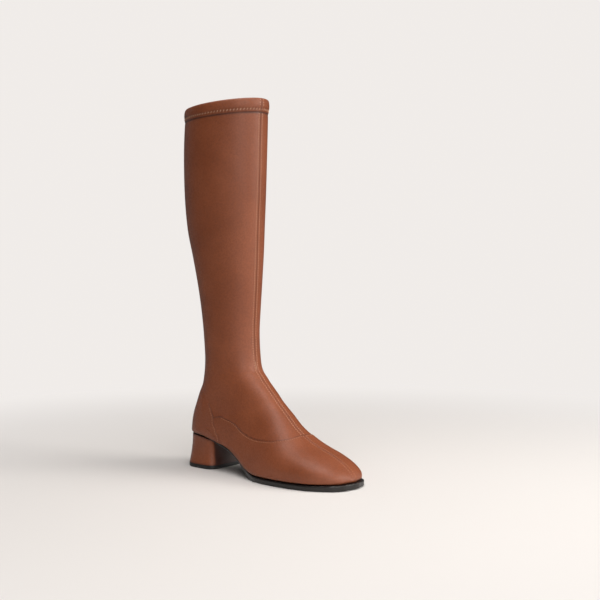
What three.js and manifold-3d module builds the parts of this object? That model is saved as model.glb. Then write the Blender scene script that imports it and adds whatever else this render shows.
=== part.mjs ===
// A women's knee-high boot for the right foot, in millimetres.
// +X points to the toe, +Y to the inner side of the leg, +Z up.
// The origin lies on the ground, under the middle of the heel.
import * as THREE from 'three';
import { mergeVertices } from 'three/addons/utils/BufferGeometryUtils.js';
import Module from 'manifold-3d';

const wasm = await Module();
wasm.setup();

// ---------------------------------------------------------------- driving sizes
const WALL = 1.8;            // leather and lining together
const GAP = 0.3;             // clearance between pieces that touch in the real boot
const HEM_HEIGHT = 18;       // turned-over band at the collar
const HEM_PUFF = 1.1;        // how far the band stands proud
const INSOLE_THICKNESS = 2.4;
const HEEL_LIFT = 4.5;       // black wearing piece under the heel
const SEAT_THICKNESS = 1.6;  // outsole where it runs over the heel
const WAIST_THICKNESS = 3;
const TREAD_THICKNESS = 6.2; // outsole at the ball
const WELT_LEDGE = 3.0;      // how far the outsole stands out round the forefoot
const TOE_LEDGE = 1.4;       // and how much further round the toe
const SLOT_WIDTH = 7;        // opening in the leather for the zip
const TEETH_WIDTH = 5;
const TAPE_WIDTH = 24;
const TAPE_THICKNESS = 0.8;
const TAPE_BEHIND = 0.7;     // clearance between the lining and the tape

// ---------------------------------------------------------------- last and leg sections
// Each row is one section through the boot, from the collar down and out to the toe.
// A section lies in a plane across the boot: it starts at the back or sole point,
// ends at the front or instep point, and is widest a given share of the way along.
const SECTION_COLUMNS = ['backX', 'backZ', 'frontX', 'frontZ', 'middleY', 'outer', 'inner',
  'widest', 'backSquare', 'frontSquare'];
const SECTION_ROWS = [
  [-16.5, 433.0, 91.0, 440.0, -17.0, 43.5, 44.0, 0.46, 2.1, 1.9],
  [-21.8, 387.0, 86.3, 390.0, -14.0, 45.0, 45.0, 0.46, 2.1, 1.9],
  [-24.8, 334.0, 81.7, 337.0, -10.8, 44.0, 44.0, 0.46, 2.1, 1.9],
  [-24.2, 291.0, 77.0, 295.0, -7.8, 41.5, 41.5, 0.46, 2.1, 1.95],
  [-19.1, 257.0, 73.6, 262.0, -5.4, 38.0, 38.0, 0.46, 2.1, 2.0],
  [-13.8, 222.0, 70.2, 227.0, -3.5, 34.5, 34.5, 0.46, 2.1, 2.0],
  [-10.2, 190.0, 67.1, 198.0, -2.0, 32.0, 32.0, 0.46, 2.1, 2.0],
  [-8.0, 158.0, 64.8, 168.0, -1.0, 30.0, 30.0, 0.46, 2.1, 2.0],
  [-7.8, 129.0, 65.2, 141.0, 0.0, 29.5, 29.8, 0.45, 2.1, 2.05],
  [-10.9, 104.0, 69.4, 122.0, 0.0, 29.5, 30.5, 0.42, 2.1, 2.2],
  [-18.5, 83.0, 77.4, 111.0, 0.0, 29.5, 31.5, 0.38, 2.2, 2.45],
  [-25.2, 65.0, 86.2, 102.0, 0.0, 29.5, 32.5, 0.33, 2.3, 2.65],
  [-26.2, 50.5, 93.6, 94.5, 0.0, 29.7, 33.0, 0.29, 2.6, 2.75],
  [-21.5, 40.2, 99.4, 88.5, 0.0, 30.0, 33.0, 0.26, 3.2, 2.75],
  [0.0, 37.8, 104.4, 83.5, 0.0, 30.3, 33.0, 0.24, 3.6, 2.75],
  [22.0, 32.8, 109.7, 78.5, 0.0, 30.5, 33.0, 0.23, 3.8, 2.75],
  [44.0, 27.0, 115.8, 73.0, 0.0, 31.5, 33.0, 0.22, 3.8, 2.7],
  [62.0, 18.0, 121.8, 67.0, 0.0, 34.5, 33.5, 0.21, 3.8, 2.65],
  [79.0, 8.8, 127.6, 61.5, 0.0, 39.0, 35.0, 0.2, 3.8, 2.6],
  [96.0, 4.0, 134.4, 56.0, 0.0, 43.5, 37.5, 0.2, 3.8, 2.55],
  [114.0, 3.5, 142.0, 50.5, 0.5, 46.5, 39.0, 0.21, 3.8, 2.5],
  [132.0, 3.5, 151.0, 45.0, 1.0, 47.5, 39.2, 0.22, 3.8, 2.5],
  [150.0, 3.7, 161.0, 40.5, 1.5, 47.0, 38.0, 0.24, 3.8, 2.5],
  [167.0, 3.8, 173.0, 36.0, 2.0, 45.0, 36.0, 0.27, 3.8, 2.5],
  [181.0, 4.1, 184.0, 31.5, 2.5, 41.5, 33.0, 0.3, 3.6, 2.45],
  [193.0, 4.7, 194.0, 26.3, 3.0, 35.5, 29.0, 0.34, 3.4, 2.4],
  [201.5, 5.0, 202.7, 20.6, 3.0, 28.6, 24.0, 0.38, 3.0, 2.4],
  [207.2, 5.6, 207.9, 15.8, 3.0, 19.6, 17.0, 0.42, 2.6, 2.3],
  [210.0, 6.9, 210.3, 11.8, 3.0, 6.5, 6.5, 0.48, 2.2, 2.2],
];
const LAST_SECTION = SECTION_ROWS.length - 1;
const COLLAR_ROLL = 0.065;   // rise of the collar from its outer to its inner side, as a slope
const ROLL_FADES_BY = 3;     // section where that tilt has gone
const COLLAR_STEP = SECTION_ROWS[0][1] - SECTION_ROWS[1][1]; // height between the top two sections

// Height of the feather line, where upper and sole meet, along the boot.
const FEATHER_ROWS = [
  [-60, 44.5], [-30, 43.3], [-3, 40.8], [17, 36.8], [32, 33.4], [47, 28.6], [59, 22.8], [70, 16.8],
  [82, 10.6], [95, 7.3], [112, 6.6], [130, 6.5], [150, 6.5], [170, 6.5], [190, 6.7], [210, 7.4],
  [240, 9.0],
];

// ---------------------------------------------------------------- smooth tables
function smooth(a, b, c, d, f) {
  return 0.5 * (2 * b + (c - a) * f + (2 * a - 5 * b + 4 * c - d) * f * f
    + (3 * b - a - 3 * c + d) * f * f * f);
}

function sectionAt(t) {
  const i = Math.min(Math.max(Math.floor(t), 0), LAST_SECTION - 1);
  const row = (k) => SECTION_ROWS[Math.min(Math.max(k, 0), LAST_SECTION)];
  const section = {};
  SECTION_COLUMNS.forEach((name, c) => {
    section[name] = smooth(row(i - 1)[c], row(i)[c], row(i + 1)[c], row(i + 2)[c], t - i);
  });
  return section;
}

// A smooth height over x from rows of [x, height], with straight ends.
function heightOver(rows, x) {
  let i = 0;
  while (i < rows.length - 2 && x > rows[i + 1][0]) i += 1;
  const [x0, h0] = rows[i];
  const [x1, h1] = rows[i + 1];
  const slope = (k) => {
    const a = rows[Math.max(k - 1, 0)];
    const b = rows[Math.min(k + 1, rows.length - 1)];
    return (b[1] - a[1]) / (b[0] - a[0]);
  };
  const w = x1 - x0;
  const f = Math.min(Math.max((x - x0) / w, 0), 1);
  const f2 = f * f;
  const f3 = f2 * f;
  return h0 * (2 * f3 - 3 * f2 + 1) + h1 * (3 * f2 - 2 * f3)
    + slope(i) * w * (f3 - 2 * f2 + f) + slope(i + 1) * w * (f3 - f2);
}

const feather = (x) => heightOver(FEATHER_ROWS, x);
const ease = (lo, hi, x) => THREE.MathUtils.smoothstep(x, lo, hi);

// ---------------------------------------------------------------- the boot's skin
// turn runs round a section: 0 at the back or sole, a quarter at the inner side, a half in front.
function skinPoint(t, turn) {
  const s = sectionAt(t);
  const axis = new THREE.Vector3(s.frontX - s.backX, 0, s.frontZ - s.backZ);
  const length = axis.length();
  axis.divideScalar(length);
  const c = Math.cos(turn);
  const w = Math.sin(turn);
  const square = c > 0 ? s.backSquare : s.frontSquare;
  const reach = c > 0 ? s.widest * length : (1 - s.widest) * length;
  const swell = (Math.abs(c) ** square + Math.abs(w) ** square) ** (-1 / square);
  const along = s.widest * length - reach * c * swell;
  const side = (w > 0 ? s.inner : s.outer) * w * swell;
  const rise = side * COLLAR_ROLL * (1 - ease(0, ROLL_FADES_BY, t));
  const height = s.backZ + axis.z * along + rise;
  return new THREE.Vector3(s.backX + axis.x * along, s.middleY + side, height);
}

function skinNormal(t, turn) {
  const stepT = 0.05;
  const stepTurn = 0.05;
  const t0 = Math.max(t - stepT, 0);
  const t1 = Math.min(t + stepT, LAST_SECTION);
  const down = skinPoint(t1, turn).sub(skinPoint(t0, turn));
  const round = skinPoint(t, turn + stepTurn).sub(skinPoint(t, turn - stepTurn));
  return round.cross(down).normalize();
}

const offsetPoint = (t, turn, offset) => skinPoint(t, turn)
  .addScaledVector(skinNormal(t, turn), offset);

// ---------------------------------------------------------------- mesh helpers
function meshGeometry(points, triangles) {
  const geometry = new THREE.BufferGeometry();
  const numbers = points.flatMap((p) => [p.x, p.y, p.z]);
  geometry.setAttribute('position', new THREE.Float32BufferAttribute(numbers, 3));
  geometry.setIndex(triangles);
  return geometry;
}

// Closes a lofted end with a fan round its middle.
function fanEnd(ring, points) {
  const middle = ring.reduce((sum, i) => sum.add(points[i]), new THREE.Vector3());
  points.push(middle.divideScalar(ring.length));
  return ring.map((a, i) => [points.length - 1, a, ring[(i + 1) % ring.length]]);
}

// Closes the end of a thin band with a strip between its two long sides.
function stripEnd(ring) {
  const n = ring.length;
  return range(n / 2 - 1, (k) => [
    [ring[k], ring[k + 1], ring[n - 2 - k]],
    [ring[k], ring[n - 2 - k], ring[n - 1 - k]],
  ]).flat();
}

// Closed skin over rings of points, one ring after another, capped flat at both ends.
function loft(rings, closeEnd = fanEnd) {
  const n = rings[0].length;
  const points = rings.flat();
  const triangles = [];
  for (let r = 0; r < rings.length - 1; r += 1) {
    for (let i = 0; i < n; i += 1) {
      const a = r * n + i;
      const b = r * n + ((i + 1) % n);
      triangles.push(a, b, b + n, a, b + n, a + n);
    }
  }
  [[0, -1], [rings.length - 1, 1]].forEach(([r, way]) => {
    const ring = range(n, (i) => r * n + i);
    closeEnd(ring, points).forEach(([a, b, c]) => {
      triangles.push(...(way < 0 ? [c, b, a] : [a, b, c]));
    });
  });
  return meshGeometry(points, triangles);
}

function signedVolume(geometry) {
  const p = geometry.attributes.position;
  const index = geometry.index.array;
  const v = [0, 1, 2].map(() => new THREE.Vector3());
  let sum = 0;
  for (let i = 0; i < index.length; i += 3) {
    v.forEach((vector, k) => vector.fromBufferAttribute(p, index[i + k]));
    sum += v[0].dot(v[1].clone().cross(v[2]));
  }
  return sum / 6;
}

// The same geometry with its faces pointing out.
function outward(geometry) {
  if (signedVolume(geometry) < 0) geometry.index.array.reverse();
  return geometry;
}

function solid(geometry) {
  const bare = geometry.clone();
  bare.deleteAttribute('normal');
  bare.deleteAttribute('uv');
  const merged = outward(mergeVertices(bare, 1e-4));
  return new wasm.Manifold(new wasm.Mesh({
    numProp: 3,
    vertProperties: Float32Array.from(merged.attributes.position.array),
    triVerts: Uint32Array.from(merged.index.array),
  }));
}

function fromSolid(manifold) {
  const mesh = manifold.getMesh();
  const geometry = new THREE.BufferGeometry();
  geometry.setAttribute('position', new THREE.Float32BufferAttribute(mesh.vertProperties, 3));
  geometry.setIndex(Array.from(mesh.triVerts));
  return geometry;
}

const range = (count, make) => Array.from({ length: count }, (_, i) => make(i));

// ---------------------------------------------------------------- plan outlines of the sole
// Where a section crosses the feather line on one side, side 1 inner and -1 outer.
function featherCrossing(t, side) {
  const above = (turn) => {
    const p = skinPoint(t, side * turn);
    return p.z - feather(p.x);
  };
  let lo = 0;
  let hi = Math.PI * 0.5;
  for (let i = 0; i < 40; i += 1) {
    const mid = (lo + hi) / 2;
    if (above(mid) < 0) lo = mid;
    else hi = mid;
  }
  return skinPoint(t, side * lo);
}

function findHeelSection() {
  let lo = 10;
  let hi = 14;
  for (let i = 0; i < 40; i += 1) {
    const mid = (lo + hi) / 2;
    const p = skinPoint(mid, 0);
    if (p.z > feather(p.x)) lo = mid;
    else hi = mid;
  }
  return hi;
}

const HEEL_SECTION = findHeelSection();

function resample(points, count) {
  const curve = new THREE.CurvePath();
  for (let i = 0; i < points.length - 1; i += 1) {
    curve.add(new THREE.LineCurve(points[i], points[i + 1]));
  }
  return curve.getSpacedPoints(count);
}

// The feather line in plan, round from the heel by the outer side to the toe and back.
const FEATHER_PLAN = (() => {
  const run = LAST_SECTION - HEEL_SECTION;
  const sweep = range(400, (i) => HEEL_SECTION + run * (i / 399) ** 1.5);
  const outer = sweep.map((t) => featherCrossing(t, -1));
  const inner = sweep.map((t) => featherCrossing(t, 1)).reverse();
  const round = [...outer, ...inner, outer[0]].map((p) => new THREE.Vector2(p.x, p.y));
  return resample(round, 240).slice(0, -1);
})();

// The plan moved outwards by spread(x), then read as the two sides' y at a given x.
function planSides(spread) {
  const n = FEATHER_PLAN.length;
  const moved = FEATHER_PLAN.map((p, i) => {
    const a = FEATHER_PLAN[(i + n - 2) % n];
    const b = FEATHER_PLAN[(i + 2) % n];
    const out = new THREE.Vector2(b.y - a.y, a.x - b.x).normalize();
    return p.clone().addScaledVector(out, spread(p.x));
  });
  const heel = moved.reduce((best, p, i) => (p.x < moved[best].x ? i : best), 0);
  const toe = moved.reduce((best, p, i) => (p.x > moved[best].x ? i : best), 0);
  const walk = (from, to, step) => {
    const path = [];
    for (let i = from; i !== to; i = (i + step + n) % n) path.push(moved[i]);
    path.push(moved[to]);
    return path;
  };
  const outer = walk(heel, toe, 1);
  const inner = walk(heel, toe, -1);
  const yAt = (path, x) => {
    for (let i = 0; i < path.length - 1; i += 1) {
      const [a, b] = [path[i], path[i + 1]];
      const run = Math.max(b.x - a.x, 1e-9);
      if (x >= a.x && x <= b.x) return a.y + ((b.y - a.y) * (x - a.x)) / run;
    }
    return path[path.length - 1].y;
  };
  return {
    heelX: moved[heel].x,
    toeX: moved[toe].x,
    outerY: (x) => yAt(outer, x),
    innerY: (x) => yAt(inner, x),
  };
}

// A slab of that plan from fromX to toX, between two heights over x.
function slab(sides, fromX, toX, bottom, top, count) {
  const start = Math.max(fromX, sides.heelX + 0.05);
  const end = Math.min(toX, sides.toeX - 0.05);
  const rings = range(count + 1, (i) => {
    const share = (1 - Math.cos((Math.PI * i) / count)) / 2;
    const x = start + (end - start) * (0.55 * share + 0.45 * (i / count));
    const [low, high] = [sides.outerY(x), sides.innerY(x)];
    const [under, over] = [bottom(x), top(x)];
    return [[low, under], [high, under], [high, over], [low, over]]
      .map(([y, z]) => new THREE.Vector3(x, y, z));
  });
  return outward(loft(rings));
}

// ---------------------------------------------------------------- upper
const RING_POINTS = 32;
const ringTurns = range(RING_POINTS, (i) => (2 * Math.PI * i) / RING_POINTS);
const HEM_STEPS = [0, 0.7, 2.2, 4.4, 6.6, 8.8, 11, 12.5, 13.1, 14];

function hemPuff(depth) {
  if (depth >= HEM_HEIGHT) return 0;
  const across = (2 * depth) / HEM_HEIGHT - 1;
  return HEM_PUFF * (1 - across ** 6) ** 0.5 - (depth < 0.5 ? 0.6 : 0);
}

function upperSections() {
  const hem = HEM_STEPS.map((depth) => depth / COLLAR_STEP);
  const rest = [];
  for (let t = 0.62; t < LAST_SECTION - 0.01; t += t < 7 ? 0.8 : 0.62) rest.push(t);
  return [...hem, ...rest, LAST_SECTION];
}

function upperShell() {
  const sections = upperSections();
  const outer = sections.map((t) => {
    const depth = t * COLLAR_STEP;
    return ringTurns.map((turn) => offsetPoint(t, turn, hemPuff(depth)));
  });
  const hollow = [0, ...sections.filter((t) => t > 0.3)].map((t) =>
    ringTurns.map((turn) => offsetPoint(t, turn, -WALL)));
  const above = hollow[0].map((p) => p.clone().setZ(p.z + 10));
  return { outer: solid(loft(outer)), hollow: solid(loft([above, ...hollow])) };
}

function belowFeather() {
  const xs = range(36, (i) => -60 + (300 * i) / 35);
  const profile = new THREE.Shape([
    new THREE.Vector2(-60, -60),
    new THREE.Vector2(240, -60),
    ...xs.reverse().map((x) => new THREE.Vector2(x, feather(x))),
  ]);
  const block = new THREE.ExtrudeGeometry(profile, { depth: 200, bevelEnabled: false });
  block.rotateX(Math.PI / 2);
  block.translate(0, 100, 0);
  return block;
}

const SOLE_SLICES = 40;
const insideSides = planSides(() => -(WALL + GAP));
const insoleSides = planSides(() => -(WALL + 2 * GAP));

function soleOpening() {
  return slab(insideSides, -60, 240, (x) => feather(x) - 12, (x) => feather(x) + 3.5, SOLE_SLICES);
}

// ---------------------------------------------------------------- zip line on the inner side
const ZIP_END = 11.2;        // section where the zip stops, above the arch
const ZIP_STEPS = 24;
const zipTurn = (t) => THREE.MathUtils.degToRad(100 + 5 * ease(0, 3, t));

// A band that follows the zip line, across it from -half to half, between two depths.
function zipBand(fromT, toT, half, low, high, steps, across, closeEnd = stripEnd) {
  const rings = range(steps + 1, (i) => {
    const t = fromT + ((toT - fromT) * i) / steps;
    const turn = zipTurn(t);
    const perTurn = skinPoint(t, turn + 0.01).distanceTo(skinPoint(t, turn - 0.01)) / 0.02;
    const spots = range(across + 1, (k) => turn + ((2 * k) / across - 1) * (half / perTurn));
    const at = (offset) => (spot) => offsetPoint(Math.max(t, 0), spot, offset);
    return [...spots.map(at(low)), ...spots.reverse().map(at(high))];
  });
  return outward(loft(rings, closeEnd));
}

function upper() {
  const { outer, hollow } = upperShell();
  const slot = zipBand(0, ZIP_END, SLOT_WIDTH / 2, -6, 6, 16, 2, fanEnd);
  const slotTop = slot.clone();
  slotTop.translate(0, 0, 6);
  const body = outer.subtract(hollow).subtract(solid(belowFeather()))
    .subtract(solid(soleOpening())).subtract(solid(slot)).subtract(solid(slotTop));
  return fromSolid(body);
}

// ---------------------------------------------------------------- sole, insole and heel
const soleThickness = (x) => SEAT_THICKNESS
  + (WAIST_THICKNESS - SEAT_THICKNESS) * ease(10, 55, x)
  + (TREAD_THICKNESS - WAIST_THICKNESS) * ease(55, 98, x);
const soleTop = (x) => feather(x) - GAP;
const TREAD_FROM = 100;
const TREAD_TO = 150;

function soleBottom(x) {
  if (x > TREAD_FROM && x < TREAD_TO) return 0;
  return Math.max(soleTop(x) - soleThickness(x), 0);
}

const SEAT_LEDGE = 0.2;
const soleLedge = (x) => SEAT_LEDGE
  + (WELT_LEDGE - SEAT_LEDGE) * ease(70, 115, x)
  + TOE_LEDGE * ease(150, 205, x);
const soleSides = planSides(soleLedge);

function outsole() {
  return slab(soleSides, -60, 240, soleBottom, soleTop, 64);
}

function insole() {
  return slab(insoleSides, -60, 240, feather, (x) => feather(x) + INSOLE_THICKNESS, SOLE_SLICES);
}

// Plan rings of the heel block, from the seat down to the top lift.
const HEEL_COLUMNS = ['drop', 'back', 'front', 'half'];
const HEEL_ROWS = [
  [0.00, -24.8, 17.6, 27.6],
  [0.30, -26.5, 16.6, 26.5],
  [0.65, -28.8, 17.2, 26.6],
  [1.00, -31.6, 19.4, 28.2],
];
const HEEL_POINTS = 40;
const HEEL_BACK_SQUARE = 2.6;
const HEEL_FRONT_SQUARE = 5;

function heelRing(drop, heightAt, grow) {
  const after = HEEL_ROWS.findIndex((row, k) => k > 0 && drop <= row[0]);
  const [above, below] = [HEEL_ROWS[after - 1], HEEL_ROWS[after]];
  const share = (drop - above[0]) / (below[0] - above[0]);
  const size = {};
  HEEL_COLUMNS.forEach((name, c) => {
    size[name] = above[c] + (below[c] - above[c]) * share;
  });
  const middle = (size.back + size.front) / 2;
  return range(HEEL_POINTS, (k) => {
    const turn = (2 * Math.PI * k) / HEEL_POINTS;
    const [c, w] = [Math.cos(turn), Math.sin(turn)];
    const square = c < 0 ? HEEL_BACK_SQUARE : HEEL_FRONT_SQUARE;
    const swell = (Math.abs(c) ** square + Math.abs(w) ** square) ** (-1 / square);
    const x = middle + c * swell * ((size.front - size.back) / 2 + grow);
    const y = w * swell * (size.half + grow);
    return new THREE.Vector3(x, y, heightAt(x));
  });
}

function heel() {
  const seat = (x) => soleBottom(x) - GAP;
  const rings = range(11, (i) => {
    const drop = i / 10;
    return heelRing(drop, (x) => seat(x) + (HEEL_LIFT + GAP - seat(x)) * drop, 0);
  });
  return outward(loft(rings));
}

function heelTopLift() {
  return outward(loft([heelRing(1, () => HEEL_LIFT, 0.1), heelRing(1, () => 0, 0)]));
}

// ---------------------------------------------------------------- zip
function zipTape() {
  const face = -(WALL + TAPE_BEHIND);
  return zipBand(0.02, ZIP_END + 0.25, TAPE_WIDTH / 2, face - TAPE_THICKNESS, face, ZIP_STEPS, 4);
}

function zipTeeth() {
  return zipBand(0.27, ZIP_END - 0.08, TEETH_WIDTH / 2, -(WALL - 0.1), 0.5, ZIP_STEPS, 1);
}

// Axes at the slider: x along the leather towards the toe, y out of the leg, z up.
function zipFrame(depth) {
  const t = depth / COLLAR_STEP;
  const turn = zipTurn(t);
  const out = skinNormal(t, turn).setZ(0).normalize();
  const along = new THREE.Vector3(out.y, -out.x, 0);
  const frame = new THREE.Matrix4().makeBasis(along, out, new THREE.Vector3(0, 0, 1));
  frame.setPosition(skinPoint(t, turn));
  return frame;
}

const SLIDER_DEPTH = 7;
const SLIDER_LENGTH = 12;
const PULL_LENGTH = 10;
const PULL_WIDTH = 7;
const PULL_WIRE = 1.2;
const TAB_LENGTH = 28;
const TAB_WIDTH = 8;
const TAB_THICKNESS = 3.2;
const EYE_RADIUS = 1.2;
const TUNNEL_RADIUS = 1.2;
const PLATE_OUT = 2.4;       // slider plate ahead of the leather
const HINGE_OUT = 5;         // pull axis ahead of the leather
const HINGE_DOWN = 1.5;      // pull axis below the middle of the slider

function roundedPlate(width, height, corner, thick, bevel) {
  const [w, h] = [width / 2, height / 2];
  const shape = new THREE.Shape();
  shape.moveTo(-w + corner, -h);
  shape.lineTo(w - corner, -h);
  shape.absarc(w - corner, -h + corner, corner, -Math.PI / 2, 0);
  shape.lineTo(w, h - corner);
  shape.absarc(w - corner, h - corner, corner, 0, Math.PI / 2);
  shape.lineTo(-w + corner, h);
  shape.absarc(-w + corner, h - corner, corner, Math.PI / 2, Math.PI);
  shape.lineTo(-w, -h + corner);
  shape.absarc(-w + corner, -h + corner, corner, Math.PI, 1.5 * Math.PI);
  const plate = new THREE.ExtrudeGeometry(shape, {
    depth: thick - 2 * bevel, bevelEnabled: bevel > 0, bevelThickness: bevel, bevelSize: bevel,
    bevelOffset: -bevel, bevelSegments: 1, curveSegments: 4,
  });
  plate.translate(0, 0, bevel - thick / 2);
  plate.rotateX(Math.PI / 2);
  return plate;
}

function sliderBody() {
  const plate = roundedPlate(8, SLIDER_LENGTH, 2.2, 1.4, 0.3);
  plate.translate(0, PLATE_OUT, 0);
  const bridge = roundedPlate(2.4, 7, 0.8, 4.4, 0.3);
  bridge.translate(0, HINGE_OUT - 0.3, -HINGE_DOWN);
  const eye = new THREE.CylinderGeometry(EYE_RADIUS, EYE_RADIUS, 10, 12);
  eye.rotateZ(Math.PI / 2);
  eye.translate(0, HINGE_OUT, -HINGE_DOWN);
  return fromSolid(solid(plate).add(solid(bridge)).subtract(solid(eye)));
}

// A flat ring whose top bar turns in the slider's eye, with the origin on that bar.
function pullRing() {
  const frame = roundedPlate(PULL_WIDTH, PULL_LENGTH, 1.6, PULL_WIRE, 0);
  const window = roundedPlate(PULL_WIDTH - 2 * PULL_WIRE, PULL_LENGTH - 2 * PULL_WIRE, 0.6, 4, 0);
  const ring = solid(frame).subtract(solid(window));
  const geometry = fromSolid(ring);
  geometry.translate(0, 0, -(PULL_LENGTH - PULL_WIRE) / 2);
  return geometry;
}

// A leather tab folded round the ring's lower bar, with the origin on that bar.
function pullTab() {
  const neck = 1.7;
  const half = TAB_WIDTH / 2;
  const end = -TAB_LENGTH;
  const shape = new THREE.Shape();
  shape.moveTo(-neck, 1.6);
  shape.lineTo(-neck, -1.6);
  shape.quadraticCurveTo(-neck - 0.2, -4, -half + 0.8, -5.5);
  shape.lineTo(-half, end + 3);
  shape.quadraticCurveTo(-half, end, 0, end);
  shape.quadraticCurveTo(half, end, half, end + 3);
  shape.lineTo(half - 0.8, -5.5);
  shape.quadraticCurveTo(neck + 0.2, -4, neck, -1.6);
  shape.lineTo(neck, 1.6);
  const tab = new THREE.ExtrudeGeometry(shape, {
    depth: TAB_THICKNESS, bevelEnabled: false, curveSegments: 5,
  });
  tab.translate(0, 0, -TAB_THICKNESS / 2);
  tab.rotateX(Math.PI / 2);
  const tunnel = new THREE.CylinderGeometry(TUNNEL_RADIUS, TUNNEL_RADIUS, 20, 10);
  tunnel.rotateZ(Math.PI / 2);
  return fromSolid(solid(tab).subtract(solid(tunnel)));
}

// ---------------------------------------------------------------- assembly
const boot = new THREE.Group();

function finish(colour, roughness, metalness) {
  return new THREE.MeshStandardMaterial({ color: colour, roughness, metalness });
}

function place(name, geometry, material, parent = boot) {
  geometry.computeVertexNormals();
  const mesh = new THREE.Mesh(geometry, material);
  mesh.name = name;
  parent.add(mesh);
  return mesh;
}

place('upper', upper(), finish(0x8a4a32, 0.5, 0));
place('insole', insole(), finish(0xb98a63, 0.7, 0));
place('outsole', outsole(), finish(0x1d1513, 0.5, 0));
place('heel', heel(), finish(0x84452e, 0.5, 0));
place('heel_top_lift', heelTopLift(), finish(0x141110, 0.6, 0));
place('zip_tape', zipTape(), finish(0x6a3a2a, 0.9, 0));
place('zip_teeth', zipTeeth(), finish(0xb9924f, 0.35, 1));

const slider = new THREE.Group();
slider.applyMatrix4(zipFrame(SLIDER_DEPTH));
boot.add(slider);
place('zip_slider', sliderBody(), finish(0xc9a25a, 0.3, 1), slider);

const pull = new THREE.Group();
pull.position.set(0, HINGE_OUT, -HINGE_DOWN);
slider.add(pull);
place('zip_pull', pullRing(), finish(0xc9a25a, 0.3, 1), pull);
const tab = place('zip_pull_tab', pullTab(), finish(0x6b3524, 0.55, 0), pull);
tab.position.set(0, 0, PULL_WIRE - PULL_LENGTH);

export default boot;
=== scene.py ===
# A women's knee-high leather boot for the right foot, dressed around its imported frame.
# Lengths are millimetres until a mesh is written, which is done in metres. The last's own
# directions are section, counted from the collar down and out to the toe, and turn, the angle
# round a section: 0 at the back or sole, a quarter turn at the inner side, a half in front.
import logging
import math
from dataclasses import dataclass, field
from enum import Enum
from typing import Callable, Sequence

import bpy
import numpy as np
from mathutils import Matrix, Vector


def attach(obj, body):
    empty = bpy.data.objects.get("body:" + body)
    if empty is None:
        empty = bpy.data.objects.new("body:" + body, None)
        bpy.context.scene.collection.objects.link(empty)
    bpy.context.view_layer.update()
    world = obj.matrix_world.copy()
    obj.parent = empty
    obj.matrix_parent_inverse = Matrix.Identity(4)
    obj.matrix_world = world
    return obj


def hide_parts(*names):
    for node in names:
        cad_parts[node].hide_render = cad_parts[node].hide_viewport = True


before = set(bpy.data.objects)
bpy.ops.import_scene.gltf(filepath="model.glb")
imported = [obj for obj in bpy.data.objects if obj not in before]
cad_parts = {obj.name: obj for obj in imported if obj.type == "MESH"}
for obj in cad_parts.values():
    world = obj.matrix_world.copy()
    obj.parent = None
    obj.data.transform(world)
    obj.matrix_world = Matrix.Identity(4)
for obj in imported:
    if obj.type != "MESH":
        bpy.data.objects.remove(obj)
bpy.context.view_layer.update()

Array = np.ndarray
Piece = bpy.types.Object
Material = bpy.types.Material
Socket = bpy.types.NodeSocket
Tree = bpy.types.NodeTree
Triple = tuple[float, float, float]

LOG = logging.getLogger("boot")
MM = 0.001
FULL = 2 * math.pi
HALF = math.pi


class Body(Enum):
    """Bodies of the frame that a piece can ride on."""

    ROOT = "root"
    PULL = "pull"


class Slot(Enum):
    """Material slots of the record."""

    UPPER = "upper_leather"
    LINING = "lining_leather"
    SOLE = "sole_black"
    LIFT = "lift_rubber"
    TAPE = "tape_fabric"
    BRASS = "zip_brass"
    TAB = "tab_leather"


class Side(Enum):
    """The two sides of the boot, as the sign of Y."""

    OUTER = -1
    INNER = 1


# ------------------------------------------------------------------ tables and curves
def ease(low: float, high: float, x: Array) -> Array:
    """Smooth step from 0 at low to 1 at high.

    Args:
        low: where the step starts.
        high: where it ends.
        x: values to read it at.

    Returns:
        The step's height at each value.
    """
    f = np.clip((np.asarray(x, float) - low) / (high - low), 0, 1)
    return f * f * (3 - 2 * f)


def bump(x: Array, centre: float, width: float) -> Array:
    """Bell curve of height 1 round a centre.

    Args:
        x: values to read it at.
        centre: where it peaks.
        width: distance from the centre at which it has fallen to a third.

    Returns:
        The bell's height at each value.
    """
    return np.exp(-(((np.asarray(x, float) - centre) / width) ** 2))


def along_rows(rows: Array, key: Array) -> Array:
    """Reads a table smoothly, its first column being the key.

    Args:
        rows: table with rising keys in column 0.
        key: keys to read at.

    Returns:
        The other columns at each key, in a last axis of their own.
    """
    keys, values = rows[:, 0], rows[:, 1:]
    key = np.asarray(key, float)
    last = len(keys) - 1
    i = np.clip(np.searchsorted(keys, key) - 1, 0, last - 1)
    before = np.maximum(np.arange(last + 1) - 1, 0)
    after = np.minimum(np.arange(last + 1) + 1, last)
    slope = (values[after] - values[before]) / (keys[after] - keys[before])[:, None]
    width = (keys[i + 1] - keys[i])[..., None]
    f = np.clip((key - keys[i])[..., None] / width, 0, 1)
    start = values[i] * (2 * f**3 - 3 * f**2 + 1) + slope[i] * width * (f**3 - 2 * f**2 + f)
    end = values[i + 1] * (3 * f**2 - 2 * f**3) + slope[i + 1] * width * (f**3 - f**2)
    return start + end


def spaced(length: float, near: Sequence[float], count: int, far: Sequence[float] = ()) -> Array:
    """Places along a length, close together where detail needs them.

    Args:
        length: the whole length.
        near: places given from its start.
        count: how many even steps lie between the two detailed ends.
        far: places given back from its end.

    Returns:
        All the places, rising from near[0] to length - far[-1].
    """
    squeeze = min(1.0, 0.42 * length / max(near[-1], far[-1] if far else 0.1, 0.1))
    first = np.array(near) * squeeze
    last = length - np.array(far or (0.0,))[::-1] * squeeze
    middle = np.linspace(first[-1], last[0], count + 1)[1:-1]
    return np.concatenate([first, middle, last])


def run_along(points: Array) -> Array:
    """Distance of each point of a path from its start."""
    return np.concatenate([[0], np.cumsum(np.linalg.norm(np.diff(points, axis=0), axis=1))])


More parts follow.
